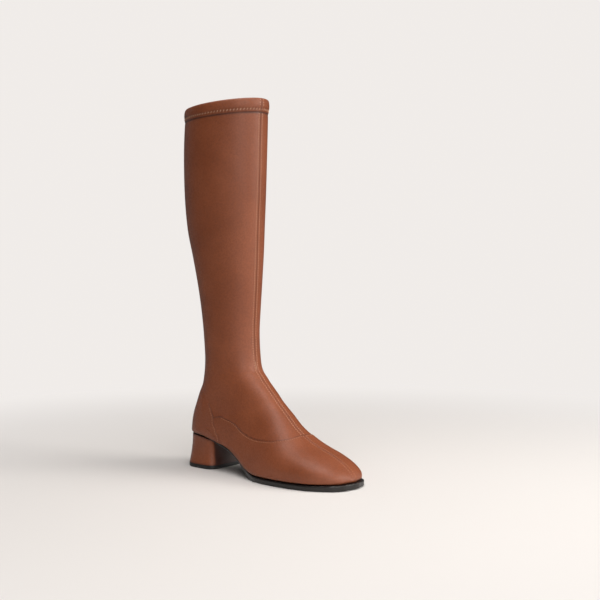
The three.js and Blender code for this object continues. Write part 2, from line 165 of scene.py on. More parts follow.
def read_along(at: Array, run: Array, values: Array) -> Array:
    """Reads the columns of a path at distances along it.

    Args:
        at: distances to read at.
        run: distance of each point of the path from its start.
        values: a row for each point.

    Returns:
        A row for each distance.
    """
    return np.stack([np.interp(at, run, column) for column in values.T], 1)


def swelled(turn: Array, square: Array | float) -> Array:
    """Reach of a rounded square of half width 1 at given angles, 2 being a circle's power."""
    return (np.abs(np.cos(turn)) ** square + np.abs(np.sin(turn)) ** square) ** (-1 / square)


def dropped(distance: Array, radius: Array | float) -> Array:
    """How far a face rounds down towards its edge, as a share of the radius."""
    f = np.clip(1 - distance / radius, 0, 1)
    return 1 - np.sqrt(np.maximum(1 - f**2, 0))


# ------------------------------------------------------------------ the last
@dataclass(frozen=True)
class Last:
    """The boot's skin: one smooth surface over sections of leg and foot."""

    columns: tuple[str, ...] = (
        "back_x", "back_z", "front_x", "front_z", "middle_y", "outer", "inner",
        "widest", "back_square", "front_square",
    )
    sections: tuple[tuple[float, ...], ...] = (
        (-16.5, 433.0, 91.0, 440.0, -17.0, 43.5, 44.0, 0.46, 2.1, 1.9),
        (-21.8, 387.0, 86.3, 390.0, -14.0, 45.0, 45.0, 0.46, 2.1, 1.9),
        (-24.8, 334.0, 81.7, 337.0, -10.8, 44.0, 44.0, 0.46, 2.1, 1.9),
        (-24.2, 291.0, 77.0, 295.0, -7.8, 41.5, 41.5, 0.46, 2.1, 1.95),
        (-19.1, 257.0, 73.6, 262.0, -5.4, 38.0, 38.0, 0.46, 2.1, 2.0),
        (-13.8, 222.0, 70.2, 227.0, -3.5, 34.5, 34.5, 0.46, 2.1, 2.0),
        (-10.2, 190.0, 67.1, 198.0, -2.0, 32.0, 32.0, 0.46, 2.1, 2.0),
        (-8.0, 158.0, 64.8, 168.0, -1.0, 30.0, 30.0, 0.46, 2.1, 2.0),
        (-7.8, 129.0, 65.2, 141.0, 0.0, 29.5, 29.8, 0.45, 2.1, 2.05),
        (-10.9, 104.0, 69.4, 122.0, 0.0, 29.5, 30.5, 0.42, 2.1, 2.2),
        (-18.5, 83.0, 77.4, 111.0, 0.0, 29.5, 31.5, 0.38, 2.2, 2.45),
        (-25.2, 65.0, 86.2, 102.0, 0.0, 29.5, 32.5, 0.33, 2.3, 2.65),
        (-26.2, 50.5, 93.6, 94.5, 0.0, 29.7, 33.0, 0.29, 2.6, 2.75),
        (-21.5, 40.2, 99.4, 88.5, 0.0, 30.0, 33.0, 0.26, 3.2, 2.75),
        (0.0, 37.8, 104.4, 83.5, 0.0, 30.3, 33.0, 0.24, 3.6, 2.75),
        (22.0, 32.8, 109.7, 78.5, 0.0, 30.5, 33.0, 0.23, 3.8, 2.75),
        (44.0, 27.0, 115.8, 73.0, 0.0, 31.5, 33.0, 0.22, 3.8, 2.7),
        (62.0, 18.0, 121.8, 67.0, 0.0, 34.5, 33.5, 0.21, 3.8, 2.65),
        (79.0, 8.8, 127.6, 61.5, 0.0, 39.0, 35.0, 0.2, 3.8, 2.6),
        (96.0, 4.0, 134.4, 56.0, 0.0, 43.5, 37.5, 0.2, 3.8, 2.55),
        (114.0, 3.5, 142.0, 50.5, 0.5, 46.5, 39.0, 0.21, 3.8, 2.5),
        (132.0, 3.5, 151.0, 45.0, 1.0, 47.5, 39.2, 0.22, 3.8, 2.5),
        (150.0, 3.7, 161.0, 40.5, 1.5, 47.0, 38.0, 0.24, 3.8, 2.5),
        (167.0, 3.8, 173.0, 36.0, 2.0, 45.0, 36.0, 0.27, 3.8, 2.5),
        (181.0, 4.1, 184.0, 31.5, 2.5, 41.5, 33.0, 0.3, 3.6, 2.45),
        (193.0, 4.7, 194.0, 26.3, 3.0, 35.5, 29.0, 0.34, 3.4, 2.4),
        (201.5, 5.0, 202.7, 20.6, 3.0, 28.6, 24.0, 0.38, 3.0, 2.4),
        (207.2, 5.6, 207.9, 15.8, 3.0, 19.6, 17.0, 0.42, 2.6, 2.3),
        (210.0, 6.9, 210.3, 11.8, 3.0, 6.5, 6.5, 0.48, 2.2, 2.2),
    )
    feather_rows: tuple[tuple[float, float], ...] = (
        (-60, 44.5), (-30, 43.3), (-3, 40.8), (17, 36.8), (32, 33.4), (47, 28.6), (59, 22.8),
        (70, 16.8), (82, 10.6), (95, 7.3), (112, 6.6), (130, 6.5), (150, 6.5), (170, 6.5),
        (190, 6.7), (210, 7.4), (240, 9.0),
    )
    collar_roll: float = 0.065
    roll_fades_by: float = 3.0
    nose: float = 1.0

    @property
    def toe(self) -> int:
        """Number of the last section."""
        return len(self.sections) - 1

    @property
    def tip(self) -> float:
        """Section at which the toe has closed to a point."""
        return self.toe + 1.0

    @property
    def collar_step(self) -> float:
        """Height between the top two sections."""
        return self.sections[0][1] - self.sections[1][1]

    def depth(self, t: Array) -> Array:
        """Depth of sections below the rim, down the leg."""
        high = self.section(np.zeros(1))["back_z"]
        return high - self.section(np.minimum(np.asarray(t, float), 9.0))["back_z"]

    def at_depth(self, depth: Array) -> Array:
        """Sections at given depths below the rim."""
        t = np.linspace(0, 8, 1601)
        return np.interp(depth, self.depth(t), t)

    def section(self, t: Array) -> dict[str, Array]:
        """The section table read smoothly.

        Args:
            t: section numbers.

        Returns:
            Each column at each of them.
        """
        rows = np.array(self.sections)
        i = np.clip(np.floor(t).astype(int), 0, self.toe - 1)
        f = (t - i)[..., None]
        a, b, c, d = (rows[np.clip(i + k, 0, self.toe)] for k in (-1, 0, 1, 2))
        value = 0.5 * (
            2 * b + (c - a) * f + (2 * a - 5 * b + 4 * c - d) * f**2 + (3 * b - a - 3 * c + d) * f**3
        )
        return {name: value[..., k] for k, name in enumerate(self.columns)}

    def point(self, t: Array, turn: Array) -> Array:
        """Points on the skin.

        Args:
            t: section numbers, up to tip.
            turn: angles round them.

        Returns:
            Places in millimetres.
        """
        t, turn = np.broadcast_arrays(np.asarray(t, float), np.asarray(turn, float))
        s = self.section(np.minimum(t, self.toe))
        run, rise = s["front_x"] - s["back_x"], s["front_z"] - s["back_z"]
        length = np.hypot(run, rise)
        c, w = np.cos(turn), np.sin(turn)
        square = np.where(c > 0, s["back_square"], s["front_square"])
        reach = np.where(c > 0, s["widest"], 1 - s["widest"]) * length
        swell = swelled(turn, square)
        along = s["widest"] * length - reach * c * swell
        side = np.where(w > 0, s["inner"], s["outer"]) * w * swell
        roll = side * self.collar_roll * (1 - ease(0, self.roll_fades_by, t))
        x = s["back_x"] + run / length * along
        z = s["back_z"] + rise / length * along + roll
        place = np.stack([x, s["middle_y"] + side, z], -1)
        end = self.sections[-1]
        middle = np.array([(end[0] + end[2]) / 2, end[4], self.feather_rows[-2][1]])
        close = np.clip(t - self.toe, 0, 1)[..., None] * HALF / 2
        rounded = middle + (place - middle) * np.cos(close) + np.sin(close) * [self.nose, 0, 0]
        return np.where(close > 0, rounded, place)

    def normal(self, t: Array, turn: Array) -> Array:
        """Outward directions of the skin.

        Args:
            t: section numbers.
            turn: angles round them.

        Returns:
            Unit vectors.
        """
        step = 0.04
        down = self.point(np.clip(t + step, 0, self.tip - 0.02), turn)
        down = down - self.point(np.clip(t - step, 0, self.tip - 0.1), turn)
        around = self.point(np.minimum(t, self.tip - 0.06), turn + step)
        around = around - self.point(np.minimum(t, self.tip - 0.06), turn - step)
        out = np.cross(around, down)
        return out / np.maximum(np.linalg.norm(out, axis=-1, keepdims=True), 1e-9)

    def off(self, t: Array, turn: Array, out: Array | float) -> Array:
        """Points standing off the skin.

        Args:
            t: section numbers.
            turn: angles round them.
            out: distance outwards.

        Returns:
            Places in millimetres.
        """
        out = np.broadcast_to(np.asarray(out, float), np.broadcast(t, turn).shape)
        return self.point(t, turn) + self.normal(t, turn) * out[..., None]

    def per_turn(self, t: Array, turn: Array) -> Array:
        """Millimetres round the section for each radian of turn.

        Args:
            t: section numbers.
            turn: angles round them.

        Returns:
            The local radius of the turn.
        """
        step = 0.02
        gap = self.point(t, turn + step) - self.point(t, turn - step)
        return np.maximum(np.linalg.norm(gap, axis=-1) / (2 * step), 0.5)

    def feather(self, x: Array) -> Array:
        """Height of the line where upper and sole meet.

        Args:
            x: places along the boot.

        Returns:
            Its height at each of them.
        """
        return along_rows(np.array(self.feather_rows, float), x)[..., 0]

    def above_feather(self, t: Array, turn: Array) -> Array:
        """Height of skin points over the feather line.

        Args:
            t: section numbers.
            turn: angles round them.

        Returns:
            Heights, below zero under the line.
        """
        place = self.point(t, turn)
        return place[..., 2] - self.feather(place[..., 0])

    def crossing(self, t: Array, side: Side) -> Array:
        """Angle at which a section meets the feather line.

        Args:
            t: section numbers.
            side: which side of the boot.

        Returns:
            The angle's size, zero where the whole section lies above the line.
        """
        t = np.asarray(t, float)
        low, high = np.zeros_like(t), np.full_like(t, HALF / 2)
        for _ in range(36):
            middle = (low + high) / 2
            under = self.above_feather(t, side.value * middle) < 0
            low, high = np.where(under, middle, low), np.where(under, high, middle)
        return np.where(self.above_feather(t, np.zeros_like(t)) > 0, 0.0, low)

    def heel_section(self) -> float:
        """Section whose back point lies on the feather line.

        Returns:
            The section number.
        """
        low, high = 10.0, 14.0
        for _ in range(40):
            middle = (low + high) / 2
            if self.above_feather(np.array(middle), np.array(0.0)) > 0:
                low = middle
            else:
                high = middle
        return high


LAST = Last()
HEEL_SECTION = LAST.heel_section()


class Plan:
    """The feather line seen from above, moved outwards and read as two sides."""

    def __init__(self, spread: Callable[[Array], Array], count: int = 480) -> None:
        """Traces the line.

        Args:
            spread: distance outwards at each x.
            count: points round the outline.
        """
        t = HEEL_SECTION + (LAST.tip - HEEL_SECTION) * np.linspace(0, 1, 600) ** 1.5
        outer = LAST.point(t, -LAST.crossing(t, Side.OUTER))
        inner = LAST.point(t, LAST.crossing(t, Side.INNER))[::-1]
        loop = np.vstack([outer, inner[1:]])[:, :2]
        run = run_along(loop)
        loop = read_along(np.linspace(0, run[-1], count + 1)[:-1], run, loop)
        for _ in range(3):
            loop = (np.roll(loop, 1, 0) + 2 * loop + np.roll(loop, -1, 0)) / 4
        along = np.roll(loop, -2, 0) - np.roll(loop, 2, 0)
        out = np.stack([along[:, 1], -along[:, 0]], 1)
        out /= np.linalg.norm(out, axis=1, keepdims=True)
        self.loop = loop + out * spread(loop[:, 0])[:, None]
        back, front = int(self.loop[:, 0].argmin()), int(self.loop[:, 0].argmax())
        turned = np.roll(self.loop, -back, 0)
        split = (front - back) % count
        self.one, self.two = turned[: split + 1], np.vstack([turned[split:], turned[:1]])[::-1]
        self.start, self.end = float(turned[0, 0]), float(turned[split, 0])

    def sides(self, x: Array) -> tuple[Array, Array]:
        """The two edges at given places.

        Args:
            x: places along the boot.

        Returns:
            The lower and the higher y at each of them.
        """
        one = np.interp(x, np.maximum.accumulate(self.one[:, 0]), self.one[:, 1])
        two = np.interp(x, np.maximum.accumulate(self.two[:, 0]), self.two[:, 1])
        return np.minimum(one, two), np.maximum(one, two)

    def slices(self, count: int) -> Array:
        """Places of cross slices, closest together at heel and toe."""
        share = (1 - np.cos(np.linspace(0, HALF, count))) / 2
        return self.start + 0.01 + (self.end - self.start - 0.02) * share


# ------------------------------------------------------------------ bench work
class Bench:
    """Modelling steps used for every piece."""

    @staticmethod
    def clear() -> None:
        """Leaves edit mode and deselects everything."""
        if bpy.context.mode != "OBJECT":
            bpy.ops.object.mode_set(mode="OBJECT")
        bpy.ops.object.select_all(action="DESELECT")

    @staticmethod
    def only(piece: Piece) -> None:
        """Makes a piece the only selected and active one.

        Args:
            piece: the piece.
        """
        Bench.clear()
        piece.select_set(True)
        bpy.context.view_layer.objects.active = piece

    @staticmethod
    def edit(piece: Piece, *steps: Callable[[], object]) -> None:
        """Runs edit-mode steps on all of a piece.

        Args:
            piece: the piece.
            steps: operator calls, in order.
        """
        Bench.only(piece)
        bpy.ops.object.mode_set(mode="EDIT")
        bpy.ops.mesh.select_all(action="SELECT")
        for step in steps:
            step()
        bpy.ops.object.mode_set(mode="OBJECT")

    @staticmethod
    def sheet(name: str, places: Array) -> Piece:
        """Lays a grid primitive over a net of places.

        Args:
            name: name of the new piece.
            places: rows by columns of points in millimetres.

        Returns:
            The piece, its faces turned as the net runs.
        """
        rows, columns = places.shape[:2]
        Bench.clear()
        bpy.ops.mesh.primitive_grid_add(
            x_subdivisions=columns - 1, y_subdivisions=rows - 1, size=1, calc_uvs=True
        )
        piece = bpy.context.object
        piece.name = name
        Bench.put_points(piece, places)
        return piece

    @staticmethod
    def merge(piece: Piece) -> None:
        """Merges the points that lie on each other."""
        Bench.edit(piece, lambda: bpy.ops.mesh.remove_doubles(threshold=2e-6))

    @staticmethod
    def cap(piece: Piece, fill: Callable[[], object] | None = None) -> None:
        """Merges a skin's seam, closes its open ends and turns its faces out.

        Args:
            piece: the piece.
            fill: operator that closes the ends, one face each unless given.
        """
        Bench.edit(
            piece,
            lambda: bpy.ops.mesh.remove_doubles(threshold=2e-6),
            lambda: bpy.ops.mesh.select_all(action="DESELECT"),
            lambda: bpy.ops.mesh.select_non_manifold(),
            fill or (lambda: bpy.ops.mesh.edge_face_add()),
            lambda: bpy.ops.mesh.select_all(action="SELECT"),
            lambda: bpy.ops.mesh.normals_make_consistent(inside=False),
        )

    @staticmethod
    def thicken(piece: Piece, out: Array, thickness: float, at: int = 0) -> None:
        """Turns a sheet to face out, thickens it inwards and shades it smooth.

        Args:
            piece: the sheet.
            out: the way one of its faces should look.
            thickness: its thickness in millimetres.
            at: number of that face.
        """
        Bench.face_out(piece, out, at)
        Bench.modify(piece, "SOLIDIFY", thickness=thickness * MM, offset=-1.0)
        Bench.smooth(piece, 50)

    @staticmethod
    def face_out(piece: Piece, out: Array, at: int = 0) -> None:
        """Turns the faces so that one of them looks a given way.

        Args:
            piece: the piece.
            out: the way that face should look.
            at: number of the face.
        """
        if piece.data.polygons[at].normal.dot(Vector(out)) < 0:
            Bench.edit(piece, lambda: bpy.ops.mesh.flip_normals())

    @staticmethod
    def modify(piece: Piece, kind: str, **settings: object) -> None:
        """Adds a modifier and applies it.

        Args:
            piece: the piece.
            kind: the modifier's type.
            settings: its values.
        """
        Bench.only(piece)
        modifier = piece.modifiers.new(kind.title(), kind)
        for name, value in settings.items():
            setattr(modifier, name, value)
        bpy.ops.object.modifier_apply(modifier=modifier.name)

    @staticmethod
    def soften(piece: Piece, width: float, segments: int) -> None:
        """Bevels a piece's sharp edges.

        Args:
            piece: the piece.
            width: width of the bevel in millimetres.
            segments: steps across it.
        """
        limits = {"limit_method": "ANGLE", "angle_limit": math.radians(50)}
        Bench.modify(piece, "BEVEL", width=width * MM, segments=segments, **limits)

    @staticmethod
    def settle(piece: Piece) -> None:
        """Moves a piece's place, turn and size into its mesh."""
        Bench.only(piece)
        bpy.ops.object.transform_apply(location=True, rotation=True, scale=True)

    @staticmethod
    def smooth(piece: Piece, angle: float = 40.0) -> None:
        """Shades a piece smooth up to an angle in degrees."""
        Bench.only(piece)
        bpy.ops.object.shade_smooth_by_angle(angle=math.radians(angle))

    @staticmethod
    def unpick(piece: Piece) -> None:
        """Deselects a mesh's points, edges and faces.

        Args:
            piece: the piece.
        """
        Bench.clear()
        for parts in (piece.data.vertices, piece.data.edges, piece.data.polygons):
            parts.foreach_set("select", np.zeros(len(parts), dtype=bool))

    @staticmethod
    def drop_faces(piece: Piece, faces: Array) -> None:
        """Deletes faces.

        Args:
            piece: the piece.
            faces: for each face, whether it goes.
        """
        Bench.unpick(piece)
        piece.data.polygons.foreach_set("select", faces)
        Bench.only(piece)
        bpy.ops.object.mode_set(mode="EDIT")
        bpy.ops.mesh.select_mode(type="FACE")
        bpy.ops.object.mode_set(mode="OBJECT")
        bpy.ops.object.mode_set(mode="EDIT")
        bpy.ops.mesh.delete(type="FACE")
        bpy.ops.mesh.select_mode(type="VERT")
        bpy.ops.object.mode_set(mode="OBJECT")

    @staticmethod
    def pick_faces(piece: Piece, keep: Callable[[Vector, Vector], bool]) -> None:
        """Selects faces by their centre and normal.

        Args:
            piece: the piece.
            keep: test of centre and normal.
        """
        Bench.unpick(piece)
        for face in piece.data.polygons:
            face.select = keep(face.center, face.normal)
        Bench.only(piece)

    @staticmethod
    def mask(piece: Piece, name: str, values: Array) -> None:
        """Writes a value for each point, for materials to read.

        Args:
            piece: the piece.
            name: name of the attribute.
            values: one number a point.
        """
        layer = piece.data.attributes.new(name, "FLOAT", "POINT")
        layer.data.foreach_set("value", np.ascontiguousarray(values, dtype=np.float32).ravel())

    @staticmethod
    def put_points(piece: Piece, places: Array) -> None:
        """Moves a piece's points to places in millimetres."""
        piece.data.vertices.foreach_set("co", (places * MM).ravel())
        piece.data.update()

    @staticmethod
    def points(piece: Piece) -> Array:
        """A piece's points in millimetres.

        Args:
            piece: the piece.

        Returns:
            Places in millimetres, one a row.
        """
        flat = np.empty(len(piece.data.vertices) * 3, dtype=np.float32)
        piece.data.vertices.foreach_get("co", flat)
        return flat.reshape(-1, 3) / MM

    @staticmethod
    def repeat(name: str, model: Piece, frames: Array) -> Piece:
        """Joins copies of a small model into one piece.

        Args:
            name: name of the new piece.
            model: the piece to copy, which is removed.
            frames: a 4 by 4 placement for each copy, in millimetres.

        Returns:
            The joined piece.
        """
        base = Bench.points(model)
        faces = [list(face.vertices) for face in model.data.polygons]
        corners = np.concatenate([base, np.ones((len(base), 1))], 1)
        placed = np.einsum("nij,vj->nvi", frames, corners)[..., :3].reshape(-1, 3)
        shifted = [[v + k * len(base) for v in face] for k in range(len(frames)) for face in faces]
        mesh = bpy.data.meshes.new(name)
        mesh.from_pydata((placed * MM).tolist(), [], shifted)
        mesh.update()
        piece = bpy.data.objects.new(name, mesh)
        bpy.context.collection.objects.link(piece)
        bpy.data.objects.remove(model)
        return piece


# ------------------------------------------------------------------ shader groups
class Nodes:
    """A small hand for building node trees."""

    def __init__(self, tree: Tree) -> None:
        """Keeps the tree that the nodes go into."""
        self.tree = tree

    def add(
        self, kind: str, inputs: dict[str | int, object] | None = None, **settings: object
    ) -> bpy.types.Node:
        """Adds a node, sets its options and fills or links its inputs.

        Args:
            kind: the node's type.
            inputs: values, or sockets to link from, by input name or number.
            settings: options of the node.

        Returns:
            The node.
        """
        node = self.tree.nodes.new(kind)
        for name, value in settings.items():
            setattr(node, name, value)
        for key, value in (inputs or {}).items():
            self.feed(node.inputs[key], value)
        return node

    def feed(self, socket: Socket, value: object) -> None:
        """Fills an input with a value or links it to a socket.

        Args:
            socket: the input.
            value: the value, or a socket to link from.
        """
        if isinstance(value, Socket):
            self.tree.links.new(value, socket)
        else:
            socket.default_value = value

    def link(self, source: Socket, socket: Socket) -> None:
        """Links a socket to another."""
        self.tree.links.new(source, socket)

    def group(self, tree: Tree, place: Socket, **inputs: object) -> dict[str, Socket]:
        """Adds a group node.

        Args:
            tree: the group.
            place: the coordinates that it reads.
            inputs: its other inputs, as Nodes.add takes them.

        Returns:
            Its outputs.
        """
        node = self.add("ShaderNodeGroup", node_tree=tree)
        for key, value in {"Vector": place, **inputs}.items():
            self.feed(node.inputs[key], value)
        return node.outputs

    def relief(
        self, shader: bpy.types.Node, height: Socket, depth: float, strength: float = 1.0
    ) -> None:
        """Bumps a shader's surface.

        Args:
            shader: the shader node.
            height: socket that gives the height.
            depth: metres from lowest to highest.
            strength: how strongly it shows.
        """
        node = self.add("ShaderNodeBump", {"Strength": strength, "Distance": depth, "Height": height})
        self.link(node.outputs["Normal"], shader.inputs["Normal"])

    def math(self, operation: str, a: object, b: object = 0.0, clamp: bool = False) -> Socket:
        """Adds a Math node.

        Args:
            operation: its operation.
            a: first value or socket.
            b: second value or socket.
            clamp: whether to keep the result between 0 and 1.

        Returns:
            Its result.
        """
        return self.add("ShaderNodeMath", {0: a, 1: b}, operation=operation, use_clamp=clamp).outputs[0]

    def step(self, value: object, low: float, high: float) -> Socket:
        """Adds a smooth step.

        Args:
            value: the value or socket read.
            low: value that gives 0.
            high: value that gives 1.

        Returns:
            The step's result.
        """
        node = self.add(
            "ShaderNodeMapRange",
            {"Value": value, "From Min": low, "From Max": high, "To Min": 0.0, "To Max": 1.0},
            interpolation_type="SMOOTHSTEP",
        )
        return node.outputs["Result"]

    def blend(self, share: object, a: object, b: object, mode: str = "MIX") -> Socket:
        """Adds a colour mix.

        Args:
            share: how much of the second colour.
            a: first colour or socket.
            b: second colour or socket.
            mode: blend mode.

        Returns:
            The mixed colour.
        """
        node = self.add("ShaderNodeMix", data_type="RGBA", blend_type=mode)
        for socket, value in zip((node.inputs[0], node.inputs[6], node.inputs[7]), (share, a, b)):
            self.feed(socket, value)
        return node.outputs[2]


@dataclass
class GroupMaker:
    """Shader node groups, each built once."""

    made: dict[str, Tree] = field(default_factory=dict)

    def start(self, name: str, ins: dict[str, tuple[str, object]], outs: dict[str, str]) -> tuple:
        """Opens a new group with its sockets.

        Args:
            name: name of the group.
            ins: type and default of each input.
            outs: type of each output.

        Returns:
            The group, a hand for its nodes, its inputs to link from and its outputs to link to.
        """
        group = bpy.data.node_groups.new(name, "ShaderNodeTree")
        for label, (kind, default) in ins.items():
            socket = group.interface.new_socket(name=label, in_out="INPUT", socket_type=kind)
            if default is not None:
                socket.default_value = default
        for label, kind in outs.items():
            group.interface.new_socket(name=label, in_out="OUTPUT", socket_type=kind)
        hand = Nodes(group)
        source = hand.add("NodeGroupInput").outputs
        sink = hand.add("NodeGroupOutput").inputs
        self.made[name] = group
        return group, hand, source, sink

    def grain(self) -> Tree:
        """Fine leather grain: pebbles, the creases between them, and pores.

        Returns:
            The group.
        """
        if "leather_grain" in self.made:
            return self.made["leather_grain"]
        group, hand, source, sink = self.start(
            "leather_grain",
            {"Vector": ("NodeSocketVector", None), "Scale": ("NodeSocketFloat", 900.0)},
            {"Height": "NodeSocketFloat", "Speckle": "NodeSocketFloat"},
        )
        place = source["Vector"]
        scale = source["Scale"]
        drift = hand.add("ShaderNodeTexNoise", {"Vector": place, "Scale": 260.0, "Detail": 2.0})
        bent = hand.add(
            "ShaderNodeVectorMath", {0: drift.outputs["Color"], "Scale": 0.0016}, operation="SCALE"
        )
        moved = hand.add("ShaderNodeVectorMath", {0: place, 1: bent.outputs[0]}, operation="ADD")
        pebble = hand.add(
            "ShaderNodeTexVoronoi", {"Vector": moved.outputs[0], "Scale": scale},
            feature="DISTANCE_TO_EDGE",
        )
        crease = hand.step(pebble.outputs["Distance"], 0.0, 0.22)
        fine = hand.add("ShaderNodeTexNoise", {"Vector": place, "Scale": scale, "Detail": 3.0})
        soft = hand.math("MULTIPLY", fine.outputs["Fac"], 0.55)
        height = hand.math("ADD", hand.math("MULTIPLY", crease, 0.6), soft)
        hand.link(height, sink["Height"])
        speck = hand.add(
            "ShaderNodeTexNoise",
            {"Vector": place, "Scale": hand.math("MULTIPLY", scale, 0.55), "Detail": 4.0, "Roughness": 0.7},
        )
        hand.link(hand.step(speck.outputs["Fac"], 0.35, 0.68), sink["Speckle"])
        return group

    def patina(self) -> Tree:
        """Uneven dye: cloudy lighter and darker areas, darkened where a mask of painted shade and burnish
        says so.

        Returns:
            The group.
        """
        if "patina" in self.made:
            return self.made["patina"]
        group, hand, source, sink = self.start(
            "patina",
            {
                "Vector": ("NodeSocketVector", None),
                "Body": ("NodeSocketColor", (0.2, 0.07, 0.03, 1)),
                "Light": ("NodeSocketColor", (0.3, 0.1, 0.05, 1)),
                "Deep": ("NodeSocketColor", (0.08, 0.02, 0.01, 1)),
                "Burnish": ("NodeSocketFloat", 0.0),
                "Speckle": ("NodeSocketFloat", 0.5),
            },
            {"Color": "NodeSocketColor", "Cloud": "NodeSocketFloat"},
        )
        place = source["Vector"]
        cloud = hand.add(
            "ShaderNodeTexNoise", {"Vector": place, "Scale": 22.0, "Detail": 4.0, "Roughness": 0.55}
        )
        patch = hand.step(cloud.outputs["Fac"], 0.35, 0.7)
        body = hand.blend(patch, source["Body"], source["Light"])
        specks = hand.math("MULTIPLY", hand.math("SUBTRACT", source["Speckle"], 0.5), 0.22)
        spotted = hand.blend(hand.math("ADD", 0.11, specks, clamp=True), body, source["Deep"])
        # the mask's darkening is painted shade in recesses with some burnish, made uneven by a noise
        rub = hand.add("ShaderNodeTexNoise", {"Vector": place, "Scale": 70.0, "Detail": 3.0})
        uneven = hand.math("ADD", rub.outputs["Fac"], 0.45)
        share = hand.math("MULTIPLY", source["Burnish"], uneven, clamp=True)
        dark = hand.blend(share, spotted, source["Deep"])
        hand.link(dark, sink["Color"])
        hand.link(patch, sink["Cloud"])
        return group

    def scuff(self) -> Tree:
        """Fine long scratches and smudges, as a mask.

        Returns:
            The group.
        """
        if "scuff" in self.made:
            return self.made["scuff"]
        group, hand, source, sink = self.start(
            "scuff",
            {
                "Vector": ("NodeSocketVector", None),
                "Stretch": ("NodeSocketVector", (1.0, 1.0, 1.0)),
                "Scale": ("NodeSocketFloat", 120.0),
            },
            {"Mask": "NodeSocketFloat", "Height": "NodeSocketFloat"},
        )
        stretched = hand.add(
            "ShaderNodeVectorMath", {0: source["Vector"], 1: source["Stretch"]},
            operation="MULTIPLY",
        )
        line = hand.add(
            "ShaderNodeTexNoise",
            {
                "Vector": stretched.outputs[0], "Scale": source["Scale"],
                "Detail": 5.0, "Roughness": 0.65,
            },
        )
        hand.link(hand.step(line.outputs["Fac"], 0.45, 0.75), sink["Mask"])
        hand.link(line.outputs["Fac"], sink["Height"])
        return group

    def weave(self) -> Tree:
        """Ribbed tape: fine ribs along it and threads across, as a height and a mask.

        Returns:
            The group.
        """
        if "tape_weave" in self.made:
            return self.made["tape_weave"]
        group, hand, source, sink = self.start(
            "tape_weave",
            {
                "Vector": ("NodeSocketVector", None),
                "Ribs": ("NodeSocketFloat", 20.0),
                "Threads": ("NodeSocketFloat", 400.0),
            },
            {"Height": "NodeSocketFloat"},
        )
        parts = hand.add("ShaderNodeSeparateXYZ", {0: source["Vector"]})
        rib = hand.math("SINE", hand.math("MULTIPLY", parts.outputs["X"], source["Ribs"]))
        thread = hand.math("SINE", hand.math("MULTIPLY", parts.outputs["Y"], source["Threads"]))
        both = hand.math("MULTIPLY", rib, thread)
        hand.link(hand.math("ADD", hand.math("MULTIPLY", both, 0.5), 0.5), sink["Height"])
        return group


GROUPS = GroupMaker()


def open_material(name: str) -> tuple[Material, Nodes, bpy.types.Node, Socket]:
    """Starts a material with its shader and Object coordinates.

    Args:
        name: name of the material.

    Returns:
        The material, a hand for its nodes, its shader node and the coordinates.
    """
    material = bpy.data.materials.new(name)
    material.use_nodes = True
    hand = Nodes(material.node_tree)
    shader = material.node_tree.nodes["Principled BSDF"]
    place = hand.add("ShaderNodeTexCoord").outputs["Object"]
    return material, hand, shader, place


@dataclass(frozen=True)
class Leather:
    """Dyed leather with a fine grain."""

    name: str
    body: Triple
    light: Triple
    deep: Triple
    roughness: float = 0.46
    grain_scale: float = 900.0
    grain_depth: float = 0.00014
    coat: float = 0.05
    shine: float = 0.42

    def make(self) -> Material:
        """Builds the material.

        Returns:
            The material.
        """
        material, hand, shader, place = open_material(self.name)
        # the burnish attribute darkens the dye: painted shade in seams, laps, creases and under the hem, with
        # some real burnish at edges
        wear_and_shade = hand.add("ShaderNodeAttribute", attribute_name="shade_and_burnish")
        grain = hand.group(GROUPS.grain(), place, Scale=self.grain_scale)
        patina = hand.group(
            GROUPS.patina(), place, Body=(*self.body, 1), Light=(*self.light, 1), Deep=(*self.deep, 1),
            Burnish=wear_and_shade.outputs["Fac"], Speckle=grain["Speckle"],
        )
        hand.link(patina["Color"], shader.inputs["Base Color"])
        dull = hand.math("MULTIPLY", hand.math("SUBTRACT", grain["Speckle"], 0.5), 0.14)
        patch = hand.math("MULTIPLY", hand.math("SUBTRACT", patina["Cloud"], 0.5), 0.05)
        rough = hand.math("ADD", hand.math("ADD", self.roughness, dull), patch, clamp=True)
        hand.link(rough, shader.inputs["Roughness"])
        hand.relief(shader, grain["Height"], self.grain_depth)
        shader.inputs["Specular IOR Level"].default_value = self.shine
        shader.inputs["Coat Weight"].default_value = self.coat
        shader.inputs["Coat Roughness"].default_value = 0.32
        return material


@dataclass(frozen=True)
class Edge:
    """Painted edge, rubber or stacked sole stuff: near black, with fine scratches."""

    name: str
    colour: Triple
    wear_and_shade: Triple
    roughness: float = 0.42
    stretch: Triple = (1.0, 1.0, 6.0)
    scratch: float = 0.00006

    def make(self) -> Material:
        """Builds the material.

        Returns:
            The material.
        """
        material, hand, shader, place = open_material(self.name)
        scuff = hand.group(GROUPS.scuff(), place, Stretch=self.stretch)
        share = hand.math("MULTIPLY", scuff["Mask"], 0.55)
        colour = hand.blend(share, (*self.colour, 1), (*self.wear_and_shade, 1))
        hand.link(colour, shader.inputs["Base Color"])
        rough = hand.math("ADD", hand.math("MULTIPLY", scuff["Mask"], 0.16), self.roughness)
        hand.link(rough, shader.inputs["Roughness"])
        hand.relief(shader, scuff["Height"], self.scratch)
        return material


